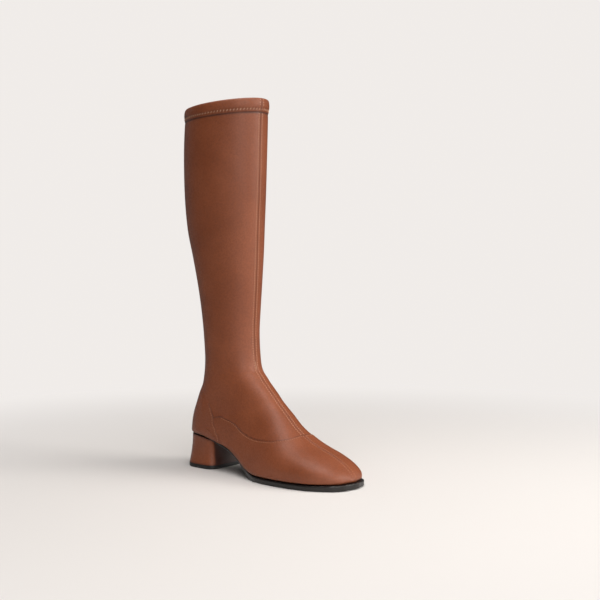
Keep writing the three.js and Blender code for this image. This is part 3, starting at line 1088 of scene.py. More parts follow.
@dataclass(frozen=True)
class Metal:
    """Plated zip metal, a little tarnished."""

    name: str
    colour: Triple
    tarnish: Triple
    roughness: float = 0.26
    scratch: float = 0.00003

    def make(self) -> Material:
        """Builds the material.

        Returns:
            The material.
        """
        material, hand, shader, place = open_material(self.name)
        scuff = hand.group(GROUPS.scuff(), place, Scale=420.0)
        share = hand.math("MULTIPLY", scuff["Mask"], 0.5)
        colour = hand.blend(share, (*self.colour, 1), (*self.tarnish, 1))
        hand.link(colour, shader.inputs["Base Color"])
        rough = hand.math("ADD", hand.math("MULTIPLY", scuff["Mask"], 0.2), self.roughness)
        hand.link(rough, shader.inputs["Roughness"])
        hand.relief(shader, scuff["Height"], self.scratch, 0.6)
        shader.inputs["Metallic"].default_value = 1.0
        return material


@dataclass(frozen=True)
class Thread:
    """Sewing thread or tape: matt, with fine fibres."""

    name: str
    colour: Triple
    shade: Triple
    roughness: float = 0.72
    woven: bool = False
    ribs: float = 14.0
    threads: float = 420.0

    def make(self) -> Material:
        """Builds the material.

        Returns:
            The material.
        """
        material, hand, shader, place = open_material(self.name)
        scuff = hand.group(GROUPS.scuff(), place, Scale=700.0)
        colour = hand.blend(scuff["Mask"], (*self.colour, 1), (*self.shade, 1))
        hand.link(colour, shader.inputs["Base Color"])
        shader.inputs["Roughness"].default_value = self.roughness
        height = scuff["Height"]
        depth = 0.00005
        if self.woven:
            flat = hand.add("ShaderNodeUVMap", uv_map="UVMap").outputs[0]
            weave = hand.group(GROUPS.weave(), flat, Ribs=self.ribs * FULL, Threads=self.threads * FULL)
            height = weave["Height"]
            depth = 0.0002
        hand.relief(shader, height, depth)
        shader.inputs["Sheen Weight"].default_value = 0.15
        return material


COGNAC = Leather("cognac_leather", (0.224, 0.0555, 0.0168), (0.264, 0.070, 0.0238), (0.042, 0.010, 0.005))
LINING = Leather("lining_leather", (0.40, 0.24, 0.14), (0.47, 0.29, 0.18), (0.22, 0.12, 0.07),
                 roughness=0.62, grain_scale=700.0, grain_depth=0.00008, coat=0.0)
TAB_LEATHER = Leather("tab_leather", (0.10, 0.032, 0.018), (0.13, 0.042, 0.022), (0.04, 0.013, 0.008),
                      roughness=0.4)
SOLE_EDGE = Edge("sole_edge", (0.006, 0.0045, 0.004), (0.014, 0.011, 0.010), roughness=0.3)
LIFT_RUBBER = Edge("lift_rubber", (0.006, 0.006, 0.006), (0.018, 0.017, 0.017), roughness=0.55)
BRASS = Metal("zip_brass", (0.60, 0.43, 0.20), (0.27, 0.18, 0.08))
TAN_THREAD = Thread("tan_thread", (0.60, 0.34, 0.21), (0.46, 0.24, 0.14))
BROWN_THREAD = Thread("brown_thread", (0.40, 0.17, 0.085), (0.30, 0.12, 0.06))
TAPE = Thread("zip_tape", (0.055, 0.022, 0.014), (0.035, 0.014, 0.01), roughness=0.9, woven=True)


@dataclass
class Workshop:
    """Makes materials once and signs pieces off into the frame."""

    materials: dict[str, Material] = field(default_factory=dict)
    count: int = 0

    def material(self, finish: Leather | Edge | Metal | Thread) -> Material:
        """The material of a finish, built on first use.

        Args:
            finish: the finish.

        Returns:
            The material.
        """
        if finish.name not in self.materials:
            self.materials[finish.name] = finish.make()
        return self.materials[finish.name]

    def deliver(
        self,
        piece: Piece,
        finish: Leather | Edge | Metal | Thread,
        body: Body = Body.ROOT,
        stands_for: Sequence[str] = (),
    ) -> Piece:
        """Dresses a finished piece and hands it to the frame.

        Args:
            piece: the piece.
            finish: its material.
            body: the body that it rides on.
            stands_for: nodes of the frame that it replaces.

        Returns:
            The piece.
        """
        piece.data.materials.clear()
        piece.data.materials.append(self.material(finish))
        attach(piece, body.value)
        if stands_for:
            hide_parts(*stands_for)
        self.count += 1
        LOG.info("%s: %d faces, %s", piece.name, len(piece.data.polygons), finish.name)
        return piece


SHOP = Workshop()


# ------------------------------------------------------------------ seams and relief
@dataclass(frozen=True)
class Seams:
    """Lines and relief of the leather, in the last's own directions."""

    hem_height: float = 14.5
    hem_stitch_depth: float = 11.3
    hem_stitch_half: float = 1.35
    front_row: float = 2.7
    zip_end: float = 11.2
    slot_half: float = 3.5
    zip_row: float = 2.0
    placket_front: float = 11.0
    placket_back: float = 8.5
    vamp_out: float = 0.6
    counter_out: float = 1.05
    sheet_thickness: float = 0.9

    def zip_turn(self, t: Array) -> Array:
        """Angle of the zip's middle line."""
        return np.radians(100 + 5 * ease(0, 3, t))

    def front_distance(self, t: Array, turn: Array) -> Array:
        """Distance from the centre-front seam.

        Args:
            t: section numbers.
            turn: angles round them.

        Returns:
            Millimetres, above zero on the outer side.
        """
        return (turn - HALF) * LAST.per_turn(t, np.full_like(turn, HALF))

    def zip_distance(self, t: Array, turn: Array) -> Array:
        """Distance from the zip's middle line, towards the front above zero.

        Args:
            t: section numbers.
            turn: angles round them.

        Returns:
            Millimetres.
        """
        line = self.zip_turn(t)
        return (turn - line) * LAST.per_turn(t, line)

    def front_fold(self, distance: Array) -> Array:
        """Relief of the centre-front seam: a sharp valley between two padded folds."""
        d = np.abs(distance)
        return 0.3 * bump(d, 1.5, 1.1) - 0.6 * bump(d, 0, 0.38) - 0.14 * bump(d, self.front_row, 0.45)

    def zip_fold(self, distance: Array, t: Array) -> Array:
        """Relief of the leather beside the zip: rolled edges, stitch rows, facing edges.

        Args:
            distance: distance from the zip's middle line.
            t: section numbers.

        Returns:
            Height over the last in millimetres.
        """
        d = np.abs(distance) - self.slot_half
        roll = 0.3 * bump(d, 0.9, 0.8) - 0.7 * bump(d, 0, 0.35) - 0.14 * bump(d, self.zip_row, 0.45)
        front = bump(distance - self.slot_half, self.placket_front, 0.4)
        back = bump(distance + self.slot_half, -self.placket_back, 0.5)
        puff = bump(distance - self.slot_half, self.placket_front - 1.6, 1.2)
        facing = -0.4 * front - 0.2 * back + 0.18 * puff
        return (roll + facing) * (1 - ease(self.zip_end + 0.1, self.zip_end + 0.9, t))

    def creases(self, t: Array, turn: Array) -> Array:
        """Soft folds of the ankle and the slack of the leg.

        Args:
            t: section numbers.
            turn: angles round them.

        Returns:
            Height over the last in millimetres.
        """
        around = np.mod(turn, FULL)
        total = np.zeros(np.broadcast(t, turn).shape)
        for section, reach, at, spread, depth, slant in CREASES:
            gap = np.mod(around - math.radians(at) + HALF, FULL) - HALF
            line = t - section - slant * gap
            total = total + depth * bump(line, 0, reach) * bump(gap, 0, math.radians(spread))
        return total

    def leg_relief(self, t: Array, turn: Array) -> Array:
        """All the relief of the leg's leather.

        Args:
            t: section numbers.
            turn: angles round them.

        Returns:
            Height over the last in millimetres.
        """
        depth = LAST.depth(t)
        tuck = -0.4 * bump(depth, self.hem_height + 0.4, 1.3)
        fold = self.front_fold(self.front_distance(t, turn)) + self.zip_fold(self.zip_distance(t, turn), t)
        return tuck + fold + self.creases(t, turn)


# distances from the front seam and from a panel's edge at which the mesh has points
SEAM_PLACES = (0.0, 0.22, 0.45, 0.75, 1.1, 1.6, 2.2, 2.7, 3.2, 4.2, 6.0)
EDGE_PLACES = (0.0, 0.08, 0.2, 0.4, 0.7, 1.1, 1.6, 2.1, 2.7, 4.0)

# section, reach in sections, angle, spread in degrees, depth, slant in sections a radian
CREASES = (
    (8.7, 0.5, 180.0, 50.0, -0.9, 0.0),
    (9.6, 0.45, 180.0, 42.0, 0.5, 0.0),
    (8.9, 0.4, 262.0, 34.0, -0.5, 0.5),
    (8.9, 0.4, 70.0, 30.0, -0.5, -0.5),
    (8.0, 0.5, 0.0, 45.0, -0.6, 0.0),
    (7.0, 0.7, 250.0, 40.0, 0.4, 0.4),
    (4.0, 1.2, 240.0, 45.0, -0.5, 0.6),
)

SEAMS = Seams()


@dataclass(frozen=True)
class Panel:
    """A panel of the upper between a sewn edge and the feather line.

    Its edge rows hold a share of the way along the edge, a section, and an angle in degrees; its
    foot rows hold a share and the section where that line of the panel meets the feather line.
    """

    edge: tuple[Triple, ...]
    foot: tuple[tuple[float, float], ...]
    hold: float
    hold_until: float

    def edge_at(self, share: Array) -> tuple[Array, Array]:
        """Sections and angles of the edge at given shares."""
        value = along_rows(np.array(self.edge), share)
        return value[..., 0], np.radians(value[..., 1])

    def lines(self, share: Array, steps: int) -> tuple[Array, Array]:
        """Lines of the panel from its edge to the feather line.

        Args:
            share: shares along the edge, below zero on the outer side.
            steps: number of points on each line.

        Returns:
            Steps by lines of sections and of angles, the outer side's angles below zero.
        """
        size, side = np.abs(share), np.where(share < 0, -1.0, 1.0)
        edge_t, edge_turn = self.edge_at(size)
        foot_t = along_rows(np.array(self.foot), size)[..., 0]
        foot_turn = np.where(side > 0, LAST.crossing(foot_t, Side.INNER), LAST.crossing(foot_t, Side.OUTER))
        v = np.linspace(0, 1, steps)[:, None]
        power = 1 + self.hold * np.clip(1 - size / self.hold_until, 0, 1) ** 2
        t = edge_t + (foot_t - edge_t) * v
        turn = foot_turn + (edge_turn - foot_turn) * (1 - v**power)
        return t, turn * side


VAMP = Panel(
    edge=(
        (0.00, 19.75, 180.0), (0.12, 19.62, 153.0), (0.26, 18.6, 133.5), (0.38, 17.64, 123.0),
        (0.50, 16.7, 113.5), (0.60, 15.76, 109.0), (0.72, 14.26, 111.5), (0.79, 12.95, 110.0),
        (0.83, 12.5, 103.0), (0.87, 12.8, 93.0), (0.92, 13.9, 82.0), (0.96, 14.8, 66.0),
        (1.00, 15.4, 47.5),
    ),
    foot=((0.0, 29.0), (0.06, 28.7), (0.14, 27.9), (0.26, 26.2), (0.4, 24.0), (0.5, 22.4), (0.6, 20.8),
          (0.72, 19.0), (0.8, 17.6), (0.87, 16.6), (0.93, 15.9), (1.0, 15.5)),
    hold=8.0,
    hold_until=0.62,
)
COUNTER = Panel(
    edge=(
        (0.00, 8.7, 0.0), (0.08, 8.8, 22.0), (0.18, 9.1, 48.0), (0.28, 9.6, 70.0), (0.37, 10.3, 86.0),
        (0.46, 11.2, 96.0), (0.54, 12.0, 99.8), (0.62, 12.7, 100.5), (0.70, 13.3, 98.0),
        (0.78, 13.9, 94.0), (0.86, 14.45, 87.0), (0.92, 14.85, 75.0), (0.97, 15.2, 60.0), (1.00, 15.4, 47.5),
    ),
    foot=((0.0, HEEL_SECTION), (0.15, 12.9), (0.3, 13.1), (0.46, 13.5), (0.62, 14.0), (0.78, 14.6),
          (0.9, 15.1), (1.0, 15.45)),
    hold=0.0,
    hold_until=1.0,
)


@dataclass(frozen=True)
class Upper:
    """Leg, vamp, counter, collar band and lining."""

    leg_foot: float = 21.5
    band_profile: tuple[tuple[float, float], ...] = (
        (14.5, -0.45), (14.3, -0.1), (13.7, 0.16), (12.9, 0.34), (12.1, 0.42), (11.3, 0.44), (10.6, 0.6),
        (9.7, 0.92), (8.4, 1.2), (6.4, 1.3), (4.4, 1.26), (2.6, 1.06), (1.2, 0.7), (0.35, 0.1),
        (0.0, -0.75), (0.15, -1.6), (0.9, -2.35), (2.4, -2.65), (6.0, -2.7), (10.0, -2.7),
        (13.3, -2.65), (14.3, -2.3), (14.6, -1.2),
    )
    band_middle: float = -0.75
    tuck_in: float = 0.9
    lining_in: float = 1.02
    lining_thickness: float = 0.75

    def band_out(self, depth: float) -> float:
        """Height of the band's outer face over the last at a depth below the rim."""
        outer = [row for row in self.band_profile if row[1] > -0.45][::-1]
        return float(np.interp(depth, [row[0] for row in outer], [row[1] for row in outer]))

    def leg_columns(self, t: Array) -> Array:
        """Angles of the leg's columns on each section.

        Args:
            t: section numbers, one a row.

        Returns:
            Rows by columns of angles, from the inner feather line or back seam round to it again.
        """
        line = SEAMS.zip_turn(t)
        zip_radius = LAST.per_turn(t, line)
        front_radius = LAST.per_turn(t, np.full_like(t, HALF))
        start, end = LAST.crossing(t, Side.INNER), FULL - LAST.crossing(t, Side.OUTER)
        fold = (0.0, 0.3, 0.6, 1.0, 1.5, 2.0, 2.5, 3.2, 4.2)
        back_placket = (*fold, 5.8, 7.4, 8.0, 8.5, 9.0, 9.8, 11.5)
        front_placket = (*fold, 6.4, 8.6, 9.8, 10.5, 11.0, 11.5, 12.2, 13.6)
        rows = []
        for k in range(len(t)):
            half = SEAMS.slot_half / zip_radius[k]
            low, high = line[k] - half, line[k] + half
            near_back = [p / zip_radius[k] for p in back_placket]
            near_front = [p / zip_radius[k] for p in front_placket]
            near_seam = [p / front_radius[k] for p in SEAM_PLACES]
            first = low - spaced(low - start[k], near_back, 14, (0.0,))[::-1]
            middle = high + spaced(HALF - high, near_front, 14, near_seam)
            last = HALF + spaced(end[k] - HALF, near_seam, 56, (0.0,))
            rows.append(np.concatenate([first, [line[k]], middle, last[1:]]))
        return np.array(rows)

    def leg_rows(self) -> Array:
        """Sections of the leg's rows.

        Returns:
            Section numbers from the rim to the foot.
        """
        rim = np.array([3.0, 8.0, 12.0, 13.4, 14.2, 14.8, 15.4, 16.2, 17.4, 19.4, 22.0])
        down = np.arange(25.0, LAST.depth(8.0), 3.2)
        return np.concatenate([LAST.at_depth(rim), LAST.at_depth(down), np.arange(8.05, self.leg_foot, 0.11)])

    def leg(self) -> Piece:
        """The leg's leather, open at the collar, along the zip and underneath.

        Returns:
            The piece.
        """
        t = self.leg_rows()
        turn = self.leg_columns(t)
        t = np.broadcast_to(t[:, None], turn.shape)
        under_panels = ease(0.0, 0.25, self.panel_depth(t, turn)) * 0.35
        places = LAST.off(t, turn, SEAMS.leg_relief(t, turn) - under_panels)
        piece = Bench.sheet("leg", places)
        # the burnish mask is painted shade in the seams, laps and zip edges and under the hem
        Bench.mask(piece, "shade_and_burnish", self.leg_shade_and_burnish(t, turn))
        gap = np.abs(SEAMS.zip_distance(t, turn)) < SEAMS.slot_half + 1e-3
        slot = gap[:-1, :-1] & gap[:-1, 1:] & (t[:-1, :1] < SEAMS.zip_end)
        Bench.drop_faces(piece, slot.ravel())
        Bench.merge(piece)
        Bench.thicken(piece, LAST.normal(t[0, :1], turn[0, :1])[0], SEAMS.sheet_thickness)
        return SHOP.deliver(piece, COGNAC, stands_for=("upper",))

    def panel_depth(self, t: Array, turn: Array) -> Array:
        """How far a place lies under the vamp, in sections, below zero outside it.

        Args:
            t: section numbers.
            turn: angles round them.

        Returns:
            The depth at each place.
        """
        edge_t, edge_turn = VAMP.edge_at(np.linspace(0, 0.83, 60))
        from_front = np.abs(turn - HALF)
        seam_from = np.maximum.accumulate(HALF - edge_turn)
        seam_t = np.interp(from_front, seam_from, edge_t)
        return np.where(from_front < seam_from[-1], t - seam_t, t - edge_t[-1])

    def leg_shade_and_burnish(self, t: Array, turn: Array) -> Array:
        """Painted shade in the leg's seam groove, at the vamp's lapped edge, along the zip's edges and under
        its hem, with some darker burnished dye at the seams.

        Args:
            t: section numbers.
            turn: angles round them.

        Returns:
            Share of painted shade and burnish, 0 to 1.
        """
        depth = LAST.depth(t)
        # painted shade: under the hem, at the vamp's lapped edge, in the front seam and beside the zip
        hem = 0.8 * bump(depth, SEAMS.hem_height + 0.3, 1.2)
        lap = 0.8 * bump(self.panel_depth(t, turn), 0, 0.07)
        front = 0.3 * bump(SEAMS.front_distance(t, turn), 0, 0.4)
        d = np.abs(SEAMS.zip_distance(t, turn)) - SEAMS.slot_half
        beside = SEAMS.zip_distance(t, turn) - SEAMS.slot_half
        edges = 0.6 * bump(d, 0, 0.6) + 0.5 * bump(beside, SEAMS.placket_front, 0.5)
        fade = 1 - ease(SEAMS.zip_end, SEAMS.zip_end + 0.8, t)
        return np.clip(hem + lap + front + edges * fade, 0, 1)

    def edge_lines(self, t: Array, turn: Array, places: Array) -> tuple[Array, Array]:
        """Puts the points of each line at given distances along it.

        Args:
            t: steps by lines of section numbers.
            turn: steps by lines of angles.
            places: stations by lines of distances from the line's start.

        Returns:
            Stations by lines of sections and of angles.
        """
        points = LAST.point(t, turn)
        run = np.linalg.norm(np.diff(points, axis=0), axis=-1)
        run = np.vstack([np.zeros(run.shape[1]), np.cumsum(run, axis=0)])
        out_t, out_turn = np.empty(places.shape), np.empty(places.shape)
        for k in range(t.shape[1]):
            out_t[:, k] = np.interp(places[:, k], run[:, k], t[:, k])
            out_turn[:, k] = np.interp(places[:, k], run[:, k], turn[:, k])
        return out_t, out_turn

    def line_lengths(self, t: Array, turn: Array) -> Array:
        """Length of each line in millimetres."""
        return np.linalg.norm(np.diff(LAST.point(t, turn), axis=0), axis=-1).sum(0)

    def sew_on(
        self, name: str, panel: Panel, share: Array, steps: int, near: Sequence[float],
        relief: Callable[[Array, Array, Array], tuple[Array, Array]],
    ) -> Piece:
        """Lays a panel over the last and draws it in at the feather line.

        Args:
            name: name of the piece.
            panel: its outline.
            share: shares along its edge, one a line.
            steps: even steps between the two detailed ends of a line.
            near: places of the first points from the edge.
            relief: height and share of painted shade and burnish at distances from the edge, sections and
                angles.

        Returns:
            The piece.
        """
        t, turn = panel.lines(share, 360)
        lengths = self.line_lengths(t, turn)
        away = np.stack([spaced(n, near, steps, (0.0, 0.4, 0.9, 1.5, 2.3)) for n in lengths], 1)
        t, turn = self.edge_lines(t, turn, away)
        out, shade_and_burnish = relief(away, t, turn)
        height = LAST.above_feather(t, turn)
        out = out - self.tuck_in * (1 - ease(0, 2.2, height)) + SEAMS.creases(t, turn)
        piece = Bench.sheet(name, LAST.off(t, turn, out))
        # painted shade towards the feather line, in the crease where the upper meets the sole
        Bench.mask(piece, "shade_and_burnish", np.clip(shade_and_burnish + 0.55 * (1 - ease(0, 4.0, height)), 0, 1))
        Bench.merge(piece)
        middle = turn.shape[1] // 2
        out = LAST.normal(t[0, middle : middle + 1], turn[0, middle : middle + 1])[0]
        Bench.thicken(piece, out, SEAMS.sheet_thickness, middle)
        return SHOP.deliver(piece, COGNAC)

    def vamp(self) -> Piece:
        """The foot's front panel, lapped over the leg.

        Returns:
            The piece.
        """
        radius = float(LAST.per_turn(np.array(19.75), np.array(HALF)))
        near = 0.12 * (np.array(SEAM_PLACES) / radius) / math.radians(27.0)
        share = np.concatenate([near, np.linspace(near[-1], 0.96, 64)[1:], [0.975, 0.988, 1.0]])

        def relief(away: Array, t: Array, turn: Array) -> tuple[Array, Array]:
            """Height and painted shade of the vamp, with some burnish at its edge.

            Args:
                away: distances from the panel's edge.
                t: section numbers.
                turn: angles round them.

            Returns:
                Height over the last and share of painted shade and burnish.
            """
            gap = SEAMS.front_distance(t, np.abs(turn))
            out = SEAMS.vamp_out * (1 - dropped(away, 0.5)) - 0.12 * bump(away, 1.7, 0.5)
            out = out + SEAMS.front_fold(gap) * ease(LAST.tip - 0.3, LAST.toe - 1.0, t)
            # painted shade along the lapped edge and in the front seam's groove
            return out, 0.9 * bump(away, 0, 0.5) + 0.3 * bump(gap, 0, 0.4)

        both = np.concatenate([-share[:0:-1], share])
        return self.sew_on("vamp", VAMP, both, 120, EDGE_PLACES, relief)

    def counter(self) -> Piece:
        """The heel panel, lapped over leg and vamp and pared away at its top.

        Returns:
            The piece.
        """

        def relief(away: Array, t: Array, turn: Array) -> tuple[Array, Array]:
            """Height and painted shade of the counter, with some burnish at its edge.

            Args:
                away: distances from the panel's edge.
                t: section numbers.
                turn: angles round them.

            Returns:
                Height over the last and share of the dark dye.
            """
            edge_t = t[:1]
            pared = 1 - ease(10.2, 11.6, edge_t)
            sewn = SEAMS.counter_out * (1 - dropped(away, 0.7)) - 0.12 * bump(away, 1.9, 0.5)
            soft = -0.12 + (SEAMS.counter_out + 0.12) * ease(0, 16.0, away)
            # painted shade along the sewn edge, fading where the top is pared away
            return sewn * (1 - pared) + soft * pared, 0.75 * bump(away, 0, 0.5) * (1 - pared)

        return self.sew_on("counter", COUNTER, np.linspace(-1, 1, 141), 40, EDGE_PLACES, relief)

    def collar_band(self) -> Piece:
        """The turned-over band at the collar, open at the zip.

        Returns:
            The piece.
        """
        depth = np.array([row[0] for row in self.band_profile])
        out = np.array([row[1] for row in self.band_profile])
        t = LAST.at_depth(depth)[:, None]
        start = float(SEAMS.zip_turn(np.array(0.1)))
        radius = float(LAST.per_turn(np.array(0.1), np.array(start)))
        front_radius = float(LAST.per_turn(np.array(0.1), np.array(HALF)))
        half = SEAMS.slot_half / radius
        seam = [p / front_radius for p in SEAM_PLACES]
        first = spaced(HALF - start - half, (0.0, 0.006, 0.02), 26, seam) + start + half
        last = spaced(FULL - HALF + start - half, seam, 110, (0.0, 0.006, 0.02)) + HALF
        turn = np.concatenate([first, last[1:]])[None, :]
        t = np.broadcast_to(t, (len(depth), turn.shape[1]))
        turn = np.broadcast_to(turn, t.shape)
        lift = SEAMS.front_fold(SEAMS.front_distance(t, turn)) * (out > 0.3)[:, None]
        ends = np.minimum(turn - turn[:, :1], turn[:, -1:] - turn) * radius
        squeeze = 1 - 0.55 * dropped(ends, 0.8)
        puff = self.band_middle + (out[:, None] - self.band_middle) * squeeze + lift
        places = LAST.off(t, turn, puff)
        places = np.concatenate([places, places[:1]], 0)
        piece = Bench.sheet("collar_band", places)
        # painted shade under the band's lower edge, in the front seam and along the hem stitches' dip
        dark = 0.7 * bump(depth, SEAMS.hem_height, 0.8)[:, None]
        dark = dark + 0.3 * bump(SEAMS.front_distance(t, turn), 0, 0.4)
        dark = dark + 0.3 * bump(depth, SEAMS.hem_stitch_depth, 1.4)[:, None]
        dark = np.concatenate([dark, dark[:1]], 0)
        Bench.mask(piece, "shade_and_burnish", np.clip(dark, 0, 1))
        Bench.cap(piece, lambda: bpy.ops.mesh.fill_holes(sides=64))
        Bench.smooth(piece, 60)
        return SHOP.deliver(piece, COGNAC)

    def lining(self) -> Piece:
        """The lining behind the leather, from under the band to the toe.

        Returns:
            The piece.
        """
        leg = LAST.at_depth(np.arange(10.0, LAST.depth(8.0), 6.0))
        t = np.concatenate([leg, np.arange(8.1, LAST.toe - 0.3, 0.24)])
        line = SEAMS.zip_turn(t)
        half = (SEAMS.slot_half + 0.6) / LAST.per_turn(t, line)
        inner, outer = LAST.crossing(t, Side.INNER), LAST.crossing(t, Side.OUTER)
        behind, ahead = 20, 76
        back = np.linspace(inner, line - half, behind, axis=1)
        turn = np.concatenate([back, np.linspace(line + half, FULL - outer, ahead, axis=1)], 1)
        t = np.broadcast_to(t[:, None], turn.shape)
        beside = np.abs(SEAMS.zip_distance(t, turn))
        fade = 1 - ease(SEAMS.zip_end + 0.3, SEAMS.zip_end + 0.8, t)
        deeper = 0.65 * (1 - ease(12.5, 16.0, beside)) * fade
        piece = Bench.sheet("lining", LAST.off(t, turn, -self.lining_in - deeper))
        slot = np.zeros((len(t) - 1, turn.shape[1] - 1), dtype=bool)
        slot[t[:-1, 0] < SEAMS.zip_end, behind - 1] = True
        Bench.drop_faces(piece, slot.ravel())
        Bench.merge(piece)
        Bench.thicken(piece, LAST.normal(t[0, :1], turn[0, :1])[0], self.lining_thickness)
        return SHOP.deliver(piece, LINING)

    def build(self) -> None:
        """Builds all the upper's pieces."""
        self.leg()
        self.vamp()
        self.counter()
        self.collar_band()
        self.lining()


# ------------------------------------------------------------------ stitches
@dataclass(frozen=True)
class Stitching:
    """Rows of stitches that follow the seams."""

    radius: float = 0.34
    length: float = 1.75
    pitch: float = 2.9
    stand: float = 0.1
    hem_pitch: float = 3.9
    hem_length: float = 3.0

    def model(self, length: float) -> Piece:
        """One stitch along X: a short thread with its ends pulled down.

        Args:
            length: length of the stitch.

        Returns:
            The model.
        """
        Bench.clear()
        bpy.ops.mesh.primitive_uv_sphere_add(segments=8, ring_count=6, radius=1.0)
        piece = bpy.context.object
        places = Bench.points(piece) * MM
        along = places[:, 2].copy()
        across = places[:, 0].copy()
        up = places[:, 1].copy()
        along = np.sign(along) * np.abs(along) ** 0.75
        shaped = np.stack(
            [along * length / 2, across * self.radius, up * self.radius - 0.22 * along**4], 1
        )
        Bench.put_points(piece, shaped)
        return piece

    def frames(self, t: Array, turn: Array, out: Array | float, pitch: float) -> Array:
        """Placements at even steps along a path.

        Args:
            t: sections of the path.
            turn: angles of the path.
            out: height of the leather along it.
            pitch: distance from stitch to stitch.

        Returns:
            A 4 by 4 placement for each stitch.
        """
        points = LAST.off(t, turn, np.broadcast_to(out, t.shape) + self.stand)
        run = run_along(points)
        at = np.arange(pitch / 2, run[-1], pitch)
        along = read_along(at + 0.5, run, points) - read_along(at - 0.5, run, points)
        normal = LAST.normal(np.interp(at, run, t), np.interp(at, run, turn))
        return self.basis(read_along(at, run, points), along, normal)

    @staticmethod
    def basis(place: Array, along: Array, normal: Array) -> Array:
        """Placements from places, directions and normals.

        Args:
            place: middles of the stitches.
            along: their directions, of any length.
            normal: the leather's directions.

        Returns:
            A 4 by 4 placement for each stitch.
        """
        along = along / np.linalg.norm(along, axis=1, keepdims=True)
        across = np.cross(normal, along)
        across /= np.linalg.norm(across, axis=1, keepdims=True)
        up = np.cross(along, across)
        frames = np.zeros((len(place), 4, 4))
        frames[:, :3, 0], frames[:, :3, 1], frames[:, :3, 2], frames[:, :3, 3] = along, across, up, place
        frames[:, 3, 3] = 1
        return frames

    def front_rows(self, spans: tuple[Triple, ...]) -> Array:
        """The two rows beside the centre-front seam.

        Args:
            spans: start and end section and leather height of each stretch.

        Returns:
            A 4 by 4 placement for each stitch.
        """
        rows = []
        for side in (-1, 1):
            for low, high, lift in spans:
                t = np.linspace(low, high, max(int((high - low) * 60), 12))
                turn = HALF + side * SEAMS.front_row / LAST.per_turn(t, np.full_like(t, HALF))
                out = lift + SEAMS.creases(t, turn) + SEAMS.front_fold(np.full_like(t, SEAMS.front_row))
                rows.append(self.frames(t, turn, out, self.pitch))
        return np.concatenate(rows)

    @staticmethod
    def front_spans() -> tuple[Triple, ...]:
        """Start, end and leather height of the front rows on band, leg and vamp.

        Returns:
            A start, an end and a height for each.
        """
        band = float(LAST.at_depth(9.6))
        leg = float(LAST.at_depth(SEAMS.hem_height + 0.5))
        return ((0.02, band, 1.2), (leg, 19.62, 0.0), (19.85, LAST.toe - 0.25, SEAMS.vamp_out))

    def zip_rows(self) -> Array:
        """Rows beside the zip and along its facings.

        Returns:
            A 4 by 4 placement for each stitch.
        """
        rows = []
        places = (
            -SEAMS.slot_half - SEAMS.zip_row, SEAMS.slot_half + SEAMS.zip_row,
            SEAMS.slot_half + SEAMS.placket_front + 1.1, -SEAMS.slot_half - SEAMS.placket_back - 0.9,
        )
        for place in places:
            t = np.linspace(float(LAST.at_depth(SEAMS.hem_height + 0.6)), SEAMS.zip_end + 0.1, 400)
            line = SEAMS.zip_turn(t)
            turn = line + place / LAST.per_turn(t, line)
            rows.append(self.frames(t, turn, SEAMS.leg_relief(t, turn), self.pitch))
        return np.concatenate(rows)

    def edge_row(self, panel: Panel, low: float, high: float, inset: float, height: float) -> Array:
        """Rows inside a panel's edge on both sides.

        Args:
            panel: the panel.
            low: share of its edge at which the rows start.
            high: share at which they end.
            inset: distance from the edge.
            height: height of the leather over the last.

        Returns:
            A 4 by 4 placement for each stitch.
        """
        rows = []
        for side in (-1, 1):
            t, turn = panel.lines(side * np.linspace(low, high, 200), 120)
            points, normal = LAST.point(t[0], turn[0]), LAST.normal(t[0], turn[0])
            along = np.gradient(points, axis=0)
            inward = np.cross(normal, along)
            inward /= np.linalg.norm(inward, axis=1, keepdims=True)
            ahead = LAST.point(t[20], turn[20]) - points
            inward *= np.sign((inward * ahead).sum(1, keepdims=True))
            out = height + SEAMS.creases(t[0], turn[0]) + self.stand
            path = points + inward * inset + normal * out[:, None]
            rows.append(self.along_points(path, normal, self.pitch))
        return np.concatenate(rows)

    def along_points(self, points: Array, normal: Array, pitch: float) -> Array:
        """Placements at even steps along given points.

        Args:
            points: the points.
            normal: the leather's direction at each of them.
            pitch: distance from stitch to stitch.

        Returns:
            A 4 by 4 placement for each stitch.
        """
        run = run_along(points)
        at = np.arange(pitch / 2, run[-1], pitch)
        along = read_along(at + 0.4, run, points) - read_along(at - 0.4, run, points)
        return self.basis(read_along(at, run, points), along, read_along(at, run, normal))

    def hem_row(self) -> Array:
        """The slanted stitches that hold the collar band down.

        Returns:
            A 4 by 4 placement for each stitch.
        """
        line = float(SEAMS.zip_turn(np.array(0.2)))
        radius = float(LAST.per_turn(np.array(0.2), np.array(line)))
        gap = (SEAMS.slot_half + 1.2) / radius
        turn = np.linspace(line + gap, line + FULL - gap, 1600)
        centre = np.full_like(turn, LAST.at_depth(SEAMS.hem_stitch_depth))
        points = LAST.point(centre, turn)
        run = run_along(points)
        starts = np.arange(1.0, run[-1] - 2.0, self.hem_pitch)
        high, low = np.interp(starts, run, turn), np.interp(starts + 0.4 * self.hem_pitch, run, turn)
        out = UPPER.band_out(SEAMS.hem_stitch_depth) + self.stand
        half = SEAMS.hem_stitch_half
        above = LAST.off(np.full_like(high, LAST.at_depth(SEAMS.hem_stitch_depth - half)), high, out)
        below = LAST.off(np.full_like(low, LAST.at_depth(SEAMS.hem_stitch_depth + half)), low, out)
        normal = LAST.normal(np.full_like(high, centre[0]), (high + low) / 2)
        return self.basis((above + below) / 2, below - above, normal)

